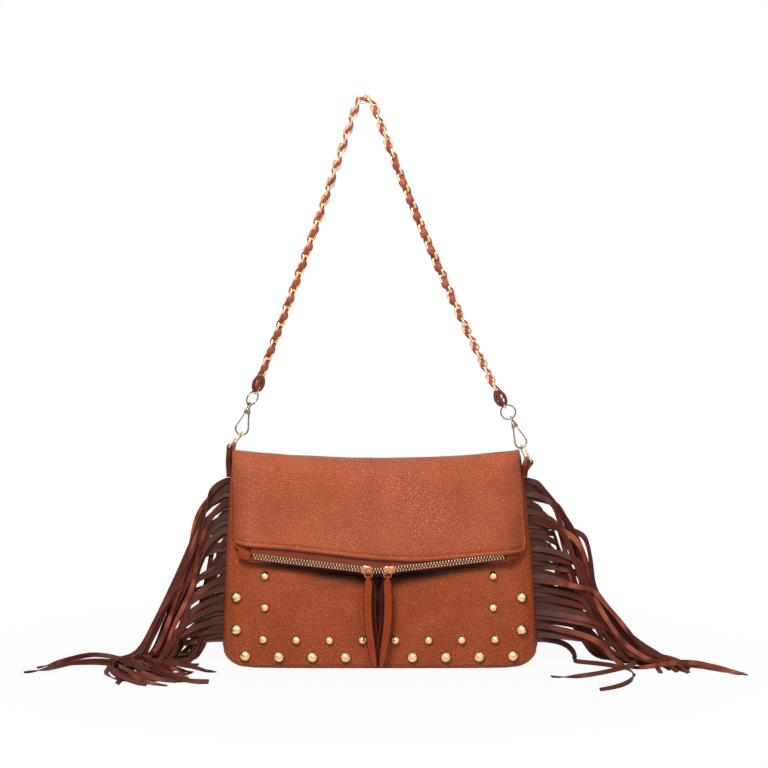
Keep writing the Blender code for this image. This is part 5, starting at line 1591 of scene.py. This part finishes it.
@dataclass
class Fringe:
    """One side's fringe: a band in the seam, cut into strips that fall and trail on the ground."""

    side: Side
    count: int = 36
    foot: float = 0.024
    head: float = 0.188
    tuck: float = 0.008
    band: float = 0.0012
    band_shown: float = 0.0004
    strip: float = 0.0045
    thickness: float = 0.0011
    ply_offset: float = 0.0007
    ply_level: float = 0.0050
    length: float = 0.266
    close_share: float = 0.32
    step: float = 0.005
    ground_level: float = 0.0009
    smoothing: int = 10
    tries: int = 60
    seed: int = 31

    def _strands(self) -> list[Strand]:
        """The strips' routes, from the lowest to the highest: of each one's tries, the first that lies where it may."""
        chance = random.Random(self.seed + self.side.value)
        strands = []
        for k in range(self.count):
            close = chance.random() < self.close_share
            drawn = []
            for _ in range(self.tries):
                strand = self._draw(chance, k, k / (self.count - 1), close)
                far = abs(FALLS[self.side].heroes.get(k, (0.0, 0.0, math.inf))[2]) < FAR_TURN
                drawn.append((self._miss(strand, far), len(drawn), strand))
                if drawn[-1][0] == 0.0:
                    break
            strands.append(min(drawn)[2])
        return strands

    def _draw(self, chance: random.Random, k: int, share: float, close: bool) -> Strand:
        """One try at a strip's route.

        Args:
            chance: The source of every random number.
            k: The strip's number, from the lowest.
            share: Its root's place from the lowest, 0, to the highest, 1.
            close: Whether it falls close to the bag.

        Returns:
            The route.
        """
        fall = FALLS[self.side]
        hang = chance.uniform(0.04, 0.34) if close else mix(*fall.hang, chance.random() ** 0.8)
        hang = mix(hang * mix(fall.low_hang, 1.0, share), 1.0, 0.85 * ease(share, 0.84, 0.97))
        heading = chance.uniform(-24.0, 30.0) if close else mix(*fall.heading, chance.random())
        curl = mix(*fall.curl, chance.random()) * chance.choice((-1, 1))
        hang, heading, curl = fall.heroes.get(k, (hang, heading, curl))
        root = mix(self.foot + self.strip / 2, self.head - self.strip / 2, share)
        join = mix(*fall.join, chance.random()) * mix(1.0, 0.45, ease(share, 0.84, 1.0))
        shorter = 1.0 if k in fall.heroes else mix(fall.low_length, 1.0, share)
        return Strand(root, hang, min(join, root * 0.55),
                      chance.uniform(0.000, 0.014) if close else chance.uniform(-0.020, 0.006),
                      math.radians(heading), math.radians(curl + chance.uniform(-6.0, 6.0)),
                      chance.uniform(0.0010, 0.0085), self.length * chance.uniform(0.88, 1.0) * shorter,
                      # Strips that fall close to the bag get a dark tone, painted shade for where they hang in its
                      # shadow
                      0.20 * chance.random() if close else chance.random(),
                      (chance.uniform(-0.9, 0.9), chance.uniform(0.3, 1.0), chance.random() * math.tau),
                      (chance.uniform(-0.0045, 0.0045), chance.random() * math.tau))

    def _miss(self, strand: Strand, far: bool) -> float:
        """How far a strip strays from the ground that its side's strips lie on, or a far one from where those end."""
        fall, sign = FALLS[self.side], self.side.value
        line = self._line(strand)[14:]
        away = [sign * p.x - sign * POUCH.seam_x(strand.root, sign) for p in line]
        depths = [p.y for p in line]
        miss = max(0.0, 0.005 - min(away), fall.ground[0] - min(depths), max(depths) - fall.ground[1])
        if far:
            return miss + max(0.0, fall.far[0] - max(away), max(away) - fall.far[1])
        return miss + max(0.0, max(away) - fall.limit)

    def _line(self, strand: Strand) -> list[Vector]:
        """The centreline of a strip in the pouch's frame: out of the seam, down the bundle, then along the ground."""
        fall, sign = FALLS[self.side], self.side.value
        seam = POUCH.seam_x(strand.root, sign)
        ply = self.ply_offset if strand.level > self.ply_level else -self.ply_offset
        low = strand.root - strand.join
        reach = fall.away(low, strand.hang)
        knots = [Vector((seam - sign * self.tuck * 0.5, 0.0, strand.root)), Vector((seam, ply, strand.root))]

        def knot(out: float, height: float) -> None:
            """Adds a point of the fall."""
            size, phase = strand.sway
            sway = size * ease(out, 0.01, 0.05) * math.sin(height * 42 + phase) * ease(height, 0, 0.02)
            knots.append(Vector((seam + sign * (out + sway), ply + strand.depth * ease(out, 0.0, 0.05) + sway, height)))

        for step in range(1, 6):
            turn = math.pi / 2 * step / 5
            knot(reach * math.sin(turn), strand.root - strand.join * (1 - math.cos(turn)))
        for step in range(1, 9):
            height = mix(low, strand.level, step / 8)
            knot(fall.away(height, strand.hang), height)
        line = smooth_points(knots, 3)
        left = strand.length - sum((b - a).length for a, b in zip(line, line[1:]))
        direction, position, total, step = 0.3 * strand.heading, line[-1].copy(), max(left, 0.001), self.step
        hump = min(0.013, 0.11 * total) * abs(math.sin(strand.sway[1]))
        while left > 0:
            travel = 1 - left / total
            bend = strand.curl * min(1.0, total / 0.08) + 0.5 * math.sin(6 * travel + strand.sway[1])
            direction += bend * step / total + 0.7 * strand.heading * step / min(total, 0.03) * (total - left < 0.03)
            position = position + Vector((sign * math.cos(direction), math.sin(direction), 0)) * min(step, left)
            sunk = mix(strand.level, self.ground_level, ease(travel, 0.1, 0.9))
            position.z = sunk + hump * math.sin(math.pi * travel) ** 2
            line.append(position.copy())
            left -= step
        for _ in range(self.smoothing):
            line[6:-1] = [(line[i - 1] + line[i] * 2 + line[i + 1]) / 4 for i in range(6, len(line) - 1)]
        return line

    @staticmethod
    def _facing(line: Sequence[Vector], strand: Strand) -> list[Vector]:
        """The way a strip's face looks at each point: forward at the seam, turning as it falls, up on the ground."""
        facing = []
        bias, swing, phase = strand.twist
        for i, point in enumerate(line):
            along = tangent(line, i)
            level = Vector((-along.y, along.x, 0))
            level = level.normalized() if level.length > 1e-5 else FRONT.copy()
            if level.y > 0:
                level.negate()
            lifted = along.cross(level).normalized()
            if lifted.z < 0:
                lifted.negate()
            share = i / (len(line) - 1)
            fall = ease(share, 0.10, 0.34) * (bias + swing * math.sin(math.tau * (0.9 + swing) * share + phase))
            fall += (0.24 + 0.15 * math.sin(phase * 3)) * (1 - ease(share, 0.12, 0.30))
            ground = ease(strand.root * 0.16 - point.z, 0.0, strand.root * 0.14)
            turn = mix(fall, 1.30 + 0.85 * math.sin((8 + 6 * swing) * share + phase), ground)
            facing.append((level * math.cos(turn) + lifted * math.sin(turn)).normalized())
        return facing

    def build(self, workshop: Workshop) -> None:
        """Builds the band and its strips as one sheet of leather."""
        sign = self.side.value
        lines, facing, sizes, shades = [], [], [], []
        for strand in self._strands():
            points = self._line(strand)
            lines.append([p + POUCH_TO_STRAP for p in points])
            facing += self._facing(points, strand)
            sizes += [mix(1.22, 1.02, ease(i, 12, 26)) for i in range(len(points))]
            shades += [strand.shade] * len(points)
        source = polylines(lines, {"facing": facing}, {"size": sizes, "strand": shades})
        strips = workshop.grow(source, workshop.growth.strips, Width=self.strip, Thickness=self.thickness,
                               Material=workshop.materials[Finish.FRINGE_LEATHER])
        rings = []
        for i in range(33):
            z = mix(self.foot, self.head, i / 32)
            seam, half = POUCH.seam_x(z, sign), self.band / 2
            inside, outside = seam - sign * self.tuck, seam + sign * self.band_shown
            rings.append([placed(x, y, z) for x, y in ((inside, -half), (outside, -half), (outside, half),
                                                       (inside, half))])
        made = workshop.sided("fringe", self.side, "strips", joined([strips, loft(rings)]), Finish.FRINGE_LEATHER,
                              "bag")


@dataclass(frozen=True)
class HookFit:
    """Where a snap hook rests."""

    outward: float
    above: float
    ring_lean: float
    hook_lean: float
    turn: float


HOOK_FIT = {Side.LEFT: HookFit(-0.0070, 0.0155, 38.0, 17.5, 0.0),
            Side.RIGHT: HookFit(0.0040, 0.0025, 24.0, -21.0, 25.0)}


@dataclass
class Fittings:
    """One side's snap hook, gate, D-ring and tab, and the frame that the strap's end is hung from."""

    side: Side
    wire: float = 0.0017
    bend: float = 0.0062
    nose: float = math.radians(14)
    shank: float = 0.0019
    hinge: float = 0.0023
    gate_share: float = 0.72
    hook_length: float = 0.0215
    collar: float = 0.0058
    eye_rise: float = 0.00345
    eye_radius: float = 0.0021
    eye_wire: float = 0.0015
    ring_radius: float = 0.0072
    ring_wire: float = 0.0015
    ring_slack: float = 0.0009
    d_wire: float = 0.0019
    d_height: float = 0.0180
    d_radius: float = 0.0085
    d_gap: float = 0.0012
    d_corner: float = 0.0016
    tab_ply: float = 0.0015
    tab_width: float = 0.0145
    tab_foot: float = 0.1895
    tab_standoff: float = 0.0006
    yaw: float = math.radians(17)

    def across(self) -> Vector:
        """The direction of the D-ring's bar, turned so that the tab's outer face shows from the front."""
        turn = -self.side.value * self.yaw
        return Vector((math.sin(turn), math.cos(turn), 0))

    def hook_frame(self) -> tuple[Vector, Vector, Vector, Vector]:
        """Seat of the hook, its length direction, its outward side and its plane's normal."""
        fit, sign = HOOK_FIT[self.side], self.side.value
        seat = placed(POUCH.fold_shift + sign * (POUCH.fold_width / 2 + fit.outward), -POUCH.fold_side,
                      POUCH.height + fit.above)
        length = leaning(math.radians(fit.hook_lean))
        outward = Vector((sign * length.z, 0, -sign * length.x)).normalized()
        outward = Matrix.Rotation(math.radians(fit.turn), 3, length) @ outward
        return seat, length, outward, length.cross(outward).normalized()

    def strap_end(self, lean: float) -> dict[str, Vector]:
        """The places of the swivel eye, the end ring and the chain's first node, on a leg that leans so."""
        seat, length, _, _ = self.hook_frame()
        foot = seat + length * (self.hook_length + self.collar + POUCH.clearance)
        eye = foot + length * self.eye_rise
        leg = leaning(lean)
        ring = eye + leg * self.ring_radius
        node = ring + leg * (self.ring_radius - self.ring_slack - POUCH.clearance)
        return {"length": length, "foot": foot, "eye": eye, "leg": leg, "ring": ring, "node": node}

    def build(self, workshop: Workshop) -> None:
        """Builds the hook, its gate, the D-ring and the tab."""
        seat, length, outward, normal = self.hook_frame()
        radius = self.wire / 2

        def at(g: float, w: float) -> Vector:
            """A point in the hook's plane."""
            return seat + outward * g + length * w

        top, centre = Vector((-self.shank, self.hook_length + 0.0012)), Vector((0.0, self.bend))
        to_top = top - centre
        lean = math.atan2(to_top.y, to_top.x) + math.acos(self.bend / to_top.length)
        nose = self.nose + 2 * math.pi
        touch = centre + Vector((math.cos(lean), math.sin(lean))) * self.bend
        path = [at(*top.lerp(touch, i / 5)) for i in range(5)]
        for i in range(25):
            turn = mix(lean, nose, i / 24)
            path.append(at(self.bend * math.cos(turn), centre.y + self.bend * math.sin(turn)))
        collar = []
        for w, half, depth in ((0.0, 0.0030, 0.0012), (0.0003, 0.0035, 0.0016), (0.0010, 0.0036, 0.0017),
                               (0.0028, 0.0031, 0.0018), (0.0044, 0.0025, 0.0017),
                               (self.collar - 0.0003, 0.0020, 0.0015), (self.collar, 0.0017, 0.0012)):
            collar.append([at(half * squared(math.cos(turn), 0.7), self.hook_length + w)
                           + normal * (depth * math.sin(turn)) for turn in turns(20)])
        workshop.sided("hook", self.side, "bent", joined([tube(path, normal, radius, 14), loft(collar)]),
                       Finish.HOOK_GOLD)
        tip = centre + Vector((math.cos(nose), math.sin(nose))) * self.bend
        hinge = Vector((self.hinge, self.hook_length - radius - 0.0006))
        start = tip + (hinge - tip).normalized() * 0.0007
        gate = [at(*start.lerp(hinge, i / 6)) for i in range(7)] + [at(*(hinge + Vector((0, radius * 0.6))))]
        workshop.sided("gate", self.side, "wire", tube(gate, normal, radius * self.gate_share), Finish.HOOK_GOLD)
        self._tab(workshop, self._d_ring(workshop, seat))

    def _d_ring(self, workshop: Workshop, seat: Vector) -> Vector:
        """The D-ring, whose straight bar lies in the tab; gives the bar's middle."""
        lean = math.radians(HOOK_FIT[self.side].ring_lean) * -self.side.value
        level = self.across()
        up = (leaning(lean) - level * (level.x * math.sin(lean))).normalized()
        bar = seat - up * (self.d_height - (self.wire + self.d_wire) / 2 - self.d_gap)
        centre, cut = bar + up * (self.d_height - self.d_radius), self.d_corner / 4
        path = [bar + level * (mix(-1, 1, i / 6) * (self.d_radius - 0.0014)) for i in range(7)]
        path += [bar + level * (self.d_radius - cut) + up * cut, bar + level * self.d_radius + up * self.d_corner]
        path += arc(centre, level, up, self.d_radius, (math.pi * i / 24 for i in range(25)))
        path += [bar - level * self.d_radius + up * self.d_corner, bar - level * (self.d_radius - cut) + up * cut]
        workshop.sided("d_ring", self.side, "wire", tube(path, level.cross(up).normalized(), self.d_wire / 2,
                                                         closed=True), Finish.PALE_GOLD)
        return bar

    def _tab(self, workshop: Workshop, bar: Vector) -> None:
        """The leather tab folded round the D-ring's bar, its tails sewn along the side seam."""
        sign = self.side.value
        loop = self.d_wire / 2 + FOLD_GAP + self.tab_ply / 2
        bar_height = (bar - POUCH_TO_STRAP).z
        tails = []
        for share in (1.0, 0.85, 0.7, 0.58, 0.45):
            height = mix(bar_height - loop, self.tab_foot, share)
            flap_share = 1 + (POUCH.height - height) / (POUCH.height - POUCH.zip_height)
            edges = [POUCH.spread(s) for s in (height / POUCH.height, 1.0, flap_share)]
            reach = max(half + sign * centre for centre, half in edges)
            face = placed(sign * (reach + self.tab_standoff + mix(POUCH.leather / 2 + 0.0008, 0.0, share)), 0, height)
            face.y = bar.y + 0.0015
            tails.append([face + Vector((sign * offset, 0, 0)) for offset in
                          (self.tab_ply / 2, self.tab_ply * 1.5 + POUCH.clearance)])
        away = (bar - (tails[-1][0] + tails[-1][1]) / 2).normalized()
        aside = Vector((away.z, 0, -away.x)) * sign
        fold = arc(bar, aside, away, loop, map(math.radians, range(-20, 201, 20)))
        path = [outer for _, outer in tails] + fold + [inner for inner, _ in reversed(tails)]
        count = len(path)
        widths = [self.tab_width * mix(0.55, 0.95, ease(min(i, count - 1 - i), 0, 5)) for i in range(count)]
        mesh = strap_mesh(path, [self.across()] * count, widths, [self.tab_ply] * count, 0.0001)
        mark(mesh, "painted", PAINTED_SECTION * count)
        workshop.sided("tab", self.side, "folded", mesh, Finish.BODY_LEATHER, "bag")


@dataclass
class Strap:
    """The chain and the leather lace woven through it, from one end ring over the top to the other."""

    fittings: dict[Side, Fittings]
    apex_radius: float = 0.0080
    pitch: float = 0.0090
    link_width: float = 0.0090
    link_wire: float = 0.0022
    link_slack: float = 0.00015
    lace: float = 0.0080
    lace_ply: float = 0.0024
    end_width: float = 0.0030
    end_ply: float = 0.0018
    sag: dict[Side, float] = field(default_factory=lambda: {Side.LEFT: 0.0067, Side.RIGHT: 0.0129})
    first_lean: dict[Side, float] = field(default_factory=lambda: {Side.LEFT: 0.36, Side.RIGHT: -0.40})
    lean_rounds: int = 6
    # At shares of the strap's length: how far it is turned about its line, in degrees, and how wide the lace lies
    roll_table: Table = ((0.0, 0.0), (0.12, -14.0), (0.28, -26.0), (0.38, -45.0), (0.50, -52.0), (0.56, -42.0),
                         (0.61, -6.0), (0.74, -2.0), (0.82, -24.0), (0.92, -58.0), (1.0, -45.0))
    tight_table: Table = ((0, 0.86), (0.08, 0.92), (0.24, 0.86), (0.34, 0.66), (0.55, 0.64), (0.62, 1.0),
                          (0.78, 0.98), (0.86, 0.74), (1, 0.62))

    def _route(self) -> tuple[list[Vector], dict[Side, dict[str, Vector]]]:
        """The strap's line and both of its ends."""
        crown = Vector((0, 0, -self.apex_radius))
        leans, ends, chords = dict(self.first_lean), {}, {}
        for _ in range(self.lean_rounds):
            for side in Side:
                end = self.fittings[side].strap_end(leans[side])
                chord = crown - end["node"]
                start = chord / 2 - UP * (2 * self.sag[side])
                leans[side] = math.atan2(start.x, start.z)
                ends[side], chords[side] = end, math.atan2(chord.x, chord.z)
        legs, angles = {}, {}
        for side in Side:
            turn, sign = chords[side], side.value
            shoulder = crown + Vector((sign * math.cos(turn), 0, -sign * math.sin(turn))) * self.apex_radius
            a, c = ends[side]["node"], shoulder
            b = (a + c) / 2 - UP * (2 * self.sag[side])
            legs[side] = [a.lerp(b, i / 24).lerp(b.lerp(c, i / 24), i / 24) for i in range(25)]
            angles[side] = math.atan2(shoulder.z - crown.z, shoulder.x - crown.x)
        first, last = angles[Side.LEFT], angles[Side.RIGHT]
        if first < last:
            first += 2 * math.pi
        over = [crown + Vector((math.cos(a), 0, math.sin(a))) * self.apex_radius
                for a in [mix(first, last, i / 12) for i in range(1, 12)]]
        return legs[Side.LEFT] + over + legs[Side.RIGHT][::-1], ends

    def _nodes(self, route: Sequence[Vector]) -> tuple[list[Vector], float]:
        """Where links meet, a fixed distance apart, and that distance."""
        total = sum((b - a).length for a, b in zip(route, route[1:]))
        count = round(total / self.pitch)

        def walk(pitch: float) -> tuple[list[Vector], bool]:
            """Nodes a distance apart, and whether they ran past the end."""
            nodes, segment, share = [route[0]], 0, 0.0
            for _ in range(count):
                here = nodes[-1]
                while segment < len(route) - 1 and (route[segment + 1] - here).length < pitch:
                    segment, share = segment + 1, 0.0
                if segment >= len(route) - 1:
                    return nodes, True
                a, b = route[segment], route[segment + 1]
                low, high = share, 1.0
                for _ in range(40):
                    middle = (low + high) / 2
                    low, high = (middle, high) if (a.lerp(b, middle) - here).length < pitch else (low, middle)
                share = low
                nodes.append(a.lerp(b, share))
            return nodes, False

        low, high = total / count * 0.95, total / count * 1.02
        for _ in range(50):
            pitch = (low + high) / 2
            low, high = (low, pitch) if walk(pitch)[1] else (pitch, high)
        return walk(low)[0], low

    def _turned(self, direction: Vector, share: float) -> tuple[Vector, Vector]:
        """Front-facing and in-plane directions of the strap, turned about its own line along its length."""
        aside = FRONT.cross(direction).normalized()
        turn = math.radians(table_value(self.roll_table, share))
        return (FRONT * math.cos(turn) + aside * math.sin(turn), aside * math.cos(turn) - FRONT * math.sin(turn))

    def build(self, workshop: Workshop) -> None:
        """Builds the chain, the lace, the end rings and the swivel eyes."""
        route, ends = self._route()
        nodes, pitch = self._nodes(route)
        count = len(nodes) - 1
        seated = (pitch + self.link_wire - self.link_slack) / 2
        radius = (self.link_width - self.link_wire) / 2
        link = [Vector((sign * (seated - radius + radius * math.cos(turn)), sign * radius * math.sin(turn), 0))
                for sign in (1, -1) for turn in map(math.radians, (-75, -45, -15, 15, 45, 75))]
        points, facing, heading = [], [], []
        for i, (a, b) in enumerate(zip(nodes, nodes[1:])):
            direction = (b - a).normalized()
            front, aside = self._turned(direction, i / (count - 1))
            points.append((a + b) / 2)
            facing.append((front + aside if i % 2 == 0 else front - aside).normalized())
            heading.append(direction)
        chain = workshop.copies(tube(link, UP, self.link_wire / 2, 8, True), points, facing, heading,
                                [1.0] * count, Finish.PALE_GOLD)
        workshop.piece("strap_chain_links", chain, Finish.PALE_GOLD, "strap", ["strap_chain"])
        self._lace(workshop, nodes, pitch)
        for side, end in ends.items():
            normal, fitting = facing[0 if side is Side.LEFT else -1], self.fittings[side]
            across = end["leg"].cross(normal).normalized()
            ring = circle(end["ring"], end["leg"], normal, fitting.ring_radius, 40)
            workshop.sided("end_ring", side, "wire", tube(ring, across, fitting.ring_wire / 2, closed=True),
                           Finish.HOOK_GOLD, "strap")
            eye = circle(end["eye"], end["leg"], across, fitting.eye_radius, 24)
            eye_tube = tube(eye, end["leg"].cross(across).normalized(), fitting.eye_wire / 2, 10, True)
            second = end["length"].cross(-FRONT).normalized()
            stem = [circle(end["foot"] + end["length"] * h, -FRONT, second, r, 16)
                    for h, r in ((0, 0.0015), (0.0003, 0.0017), (0.0008, 0.0017), (0.0014, 0.0013))]
            workshop.sided("swivel_eye", side, "cast", joined([loft(stem), eye_tube]), Finish.HOOK_GOLD, "strap")

    def _lace(self, workshop: Workshop, nodes: Sequence[Vector], pitch: float) -> None:
        """The lace: broad where it lies over a join of two links, bunched where it goes through them."""
        count = len(nodes) - 1
        path, wides, widths = [], [], []
        directions = [(b - a).normalized() for a, b in zip(nodes, nodes[1:])]
        for j in range(1, count):
            direction = (directions[j - 1] + directions[j]).normalized()
            share = (j - 0.5) / (count - 1)
            front, aside = self._turned(direction, share)
            tight = table_value(self.tight_table, share)
            face = (front if j % 2 else -front) * tight
            for step, lift, width in ((-0.50, 0.0002, 0.66), (-0.38, 0.0013, 0.82), (-0.20, 0.0024, 0.98),
                                      (0.0, 0.0028, 1.0), (0.20, 0.0024, 0.98), (0.38, 0.0013, 0.82)):
                way = directions[j - 1] if step < 0 else directions[j]
                path.append(nodes[j] + way * (step * pitch) + face * lift)
                wides.append(aside)
                widths.append(self.lace * (width * tight))
        lace = strap_mesh(path, wides, widths, [self.lace_ply] * len(path), 0.0005)
        workshop.piece("strap_lace_woven", lace, Finish.LACE_LEATHER, "strap", ["strap_lace"])
        self._end_loops(workshop, nodes)

    def _end_loops(self, workshop: Workshop, nodes: Sequence[Vector]) -> None:
        """The lace's doubled ends, each folded over the last links and sewn back on itself."""
        loops = []
        for low, high, lean in ((nodes[0], nodes[2], -1), (nodes[-1], nodes[-3], 1)):
            aside = FRONT.cross((high - low).normalized()).normalized() * lean
            for shift, depth in ((0.0042, -0.0026), (-0.0038, -0.0030), (0.0006, -0.0046)):
                path = [low.lerp(high, t) + aside * (shift * w) + FRONT * (depth * d * -1) for t, w, d in
                        ((0.10, 0.2, 0.3), (0.28, 0.9, 1.0), (0.55, 1.2, 1.1), (0.82, 0.9, 1.0), (1.02, 0.3, 0.4))]
                path = smooth_points(path, 4)
                count = len(path)
                loops.append(strap_mesh(path, [aside] * count, [self.end_width] * count, [self.end_ply] * count,
                                        0.0003))
        workshop.piece("strap_lace_ends", joined(loops), Finish.WELT, "strap")


@dataclass
class Studio:
    """The floor, lamps, background and camera."""

    elevation: float = math.radians(9.0)
    distance: float = 8.0
    pixels_per_metre: float = 1020.0
    pixels: int = 768
    sensor: float = 36.0
    look: tuple[float, float, float] = (0.00392, -0.016, 0.2838)

    def build(self) -> None:
        """Builds the stage and the camera."""
        scene = bpy.context.scene
        scene.view_settings.view_transform = "Standard"
        back = Vector((0, -math.cos(self.elevation), math.sin(self.elevation)))
        camera = new_object("camera", bpy.data.cameras.new("camera"))
        self._aim(camera, placed(*self.look) + back * self.distance, -back)
        camera.data.sensor_width = self.sensor
        camera.data.lens = self.sensor * self.pixels_per_metre * self.distance / self.pixels
        camera.data.clip_end = 60.0
        scene.camera = camera
        self._floor()
        self._lamps()
        self._world(scene)

    @staticmethod
    def _aim(thing: Object, place: Vector, direction: Vector) -> None:
        """Puts a camera or lamp at a place, turned towards a direction."""
        thing.location = place
        thing.rotation_mode = "QUATERNION"
        thing.rotation_quaternion = direction.to_track_quat("-Z", "Y")

    @staticmethod
    def _floor() -> None:
        """A wide pale floor that keeps the bag's shadow and runs out to white."""
        mesh = bpy.data.meshes.new("floor")
        mesh.from_pydata([(x, y, POUCH_TO_STRAP.z - 0.0002) for x, y in ((-30, -30), (30, -30), (30, 30), (-30, 30))],
                         [], [(0, 1, 2, 3)])
        material, graph, shader = new_material("pale_floor", (0.9, 0.9, 0.9))
        for socket, value in (("Base Color", (0.60, 0.60, 0.60, 1)), ("Roughness", 0.9), ("Specular IOR Level", 0.0)):
            shader.inputs[socket].default_value = value
        where = graph.add("ShaderNodeTexCoord").outputs["Object"]
        distance = graph.vectors("DISTANCE", where, (0.0, 0.0, POUCH_TO_STRAP.z), output="Value")
        white = graph.add("ShaderNodeEmission", {"Color": (1, 1, 1, 1), "Strength": 1.0})
        share = graph.maths("MULTIPLY", graph.ramp(distance, 0.24, 0.48, 0.95, 1.0), graph.seen())
        blended = graph.add("ShaderNodeMixShader", {0: share, 1: shader.outputs[0], 2: white.outputs[0]})
        graph.feed(material.node_tree.nodes["Material Output"].inputs[0], blended.outputs[0])
        mesh.materials.append(material)
        new_object("floor", mesh)

    def _lamps(self) -> None:
        """Two large soft boxes in front and one above and behind."""
        target = placed(0.0, 0.0, 0.12)
        for name, place, size, power in (("key_box", (-0.40, -1.90, 1.85), 0.80, 67.0),
                                         ("fill_box", (1.0, -2.4, 0.8), 1.0, 10.0),
                                         ("top_box", (0.25, 0.9, 2.0), 1.2, 6.0)):
            lamp = new_object(name, bpy.data.lights.new(name, "AREA"))
            lamp.data.shape = "SQUARE"
            lamp.data.size = size
            lamp.data.energy = power
            where = Vector(place) + POUCH_TO_STRAP
            self._aim(lamp, where, target - where)

    @staticmethod
    def _world(scene: bpy.types.Scene) -> None:
        """White where it is seen or mirrored, and a soft even light otherwise."""
        world = bpy.data.worlds.new("studio")
        world.use_nodes = True
        scene.world = world
        graph = NodeGraph(world.node_tree)
        background = world.node_tree.nodes["Background"]
        background.inputs["Color"].default_value = (1, 1, 1, 1)
        graph.feed(background.inputs["Strength"], graph.ramp(graph.seen(), 0.0, 1.0, 0.19, 1.0, "LINEAR"))


def report_size() -> None:
    """Updates the view layer.
    """
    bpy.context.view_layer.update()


def main() -> None:
    """Builds the bag, piece by piece, and its studio."""
    logging.basicConfig(level=logging.INFO, format="%(name)s: %(message)s", stream=sys.stdout)
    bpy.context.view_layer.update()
    Studio().build()
    workshop = Workshop()
    surface = Pouch().build(workshop)
    Zip().build(workshop)
    Studs().build(workshop, surface)
    fittings = {side: Fittings(side) for side in Side}
    for side in Side:
        Slider(side).build(workshop)
        Fringe(side).build(workshop)
        fittings[side].build(workshop)
    Strap(fittings).build(workshop)
    LOG.info("%d pieces", len(workshop.pieces))
    report_size()


if __name__ == "__main__":
    main()
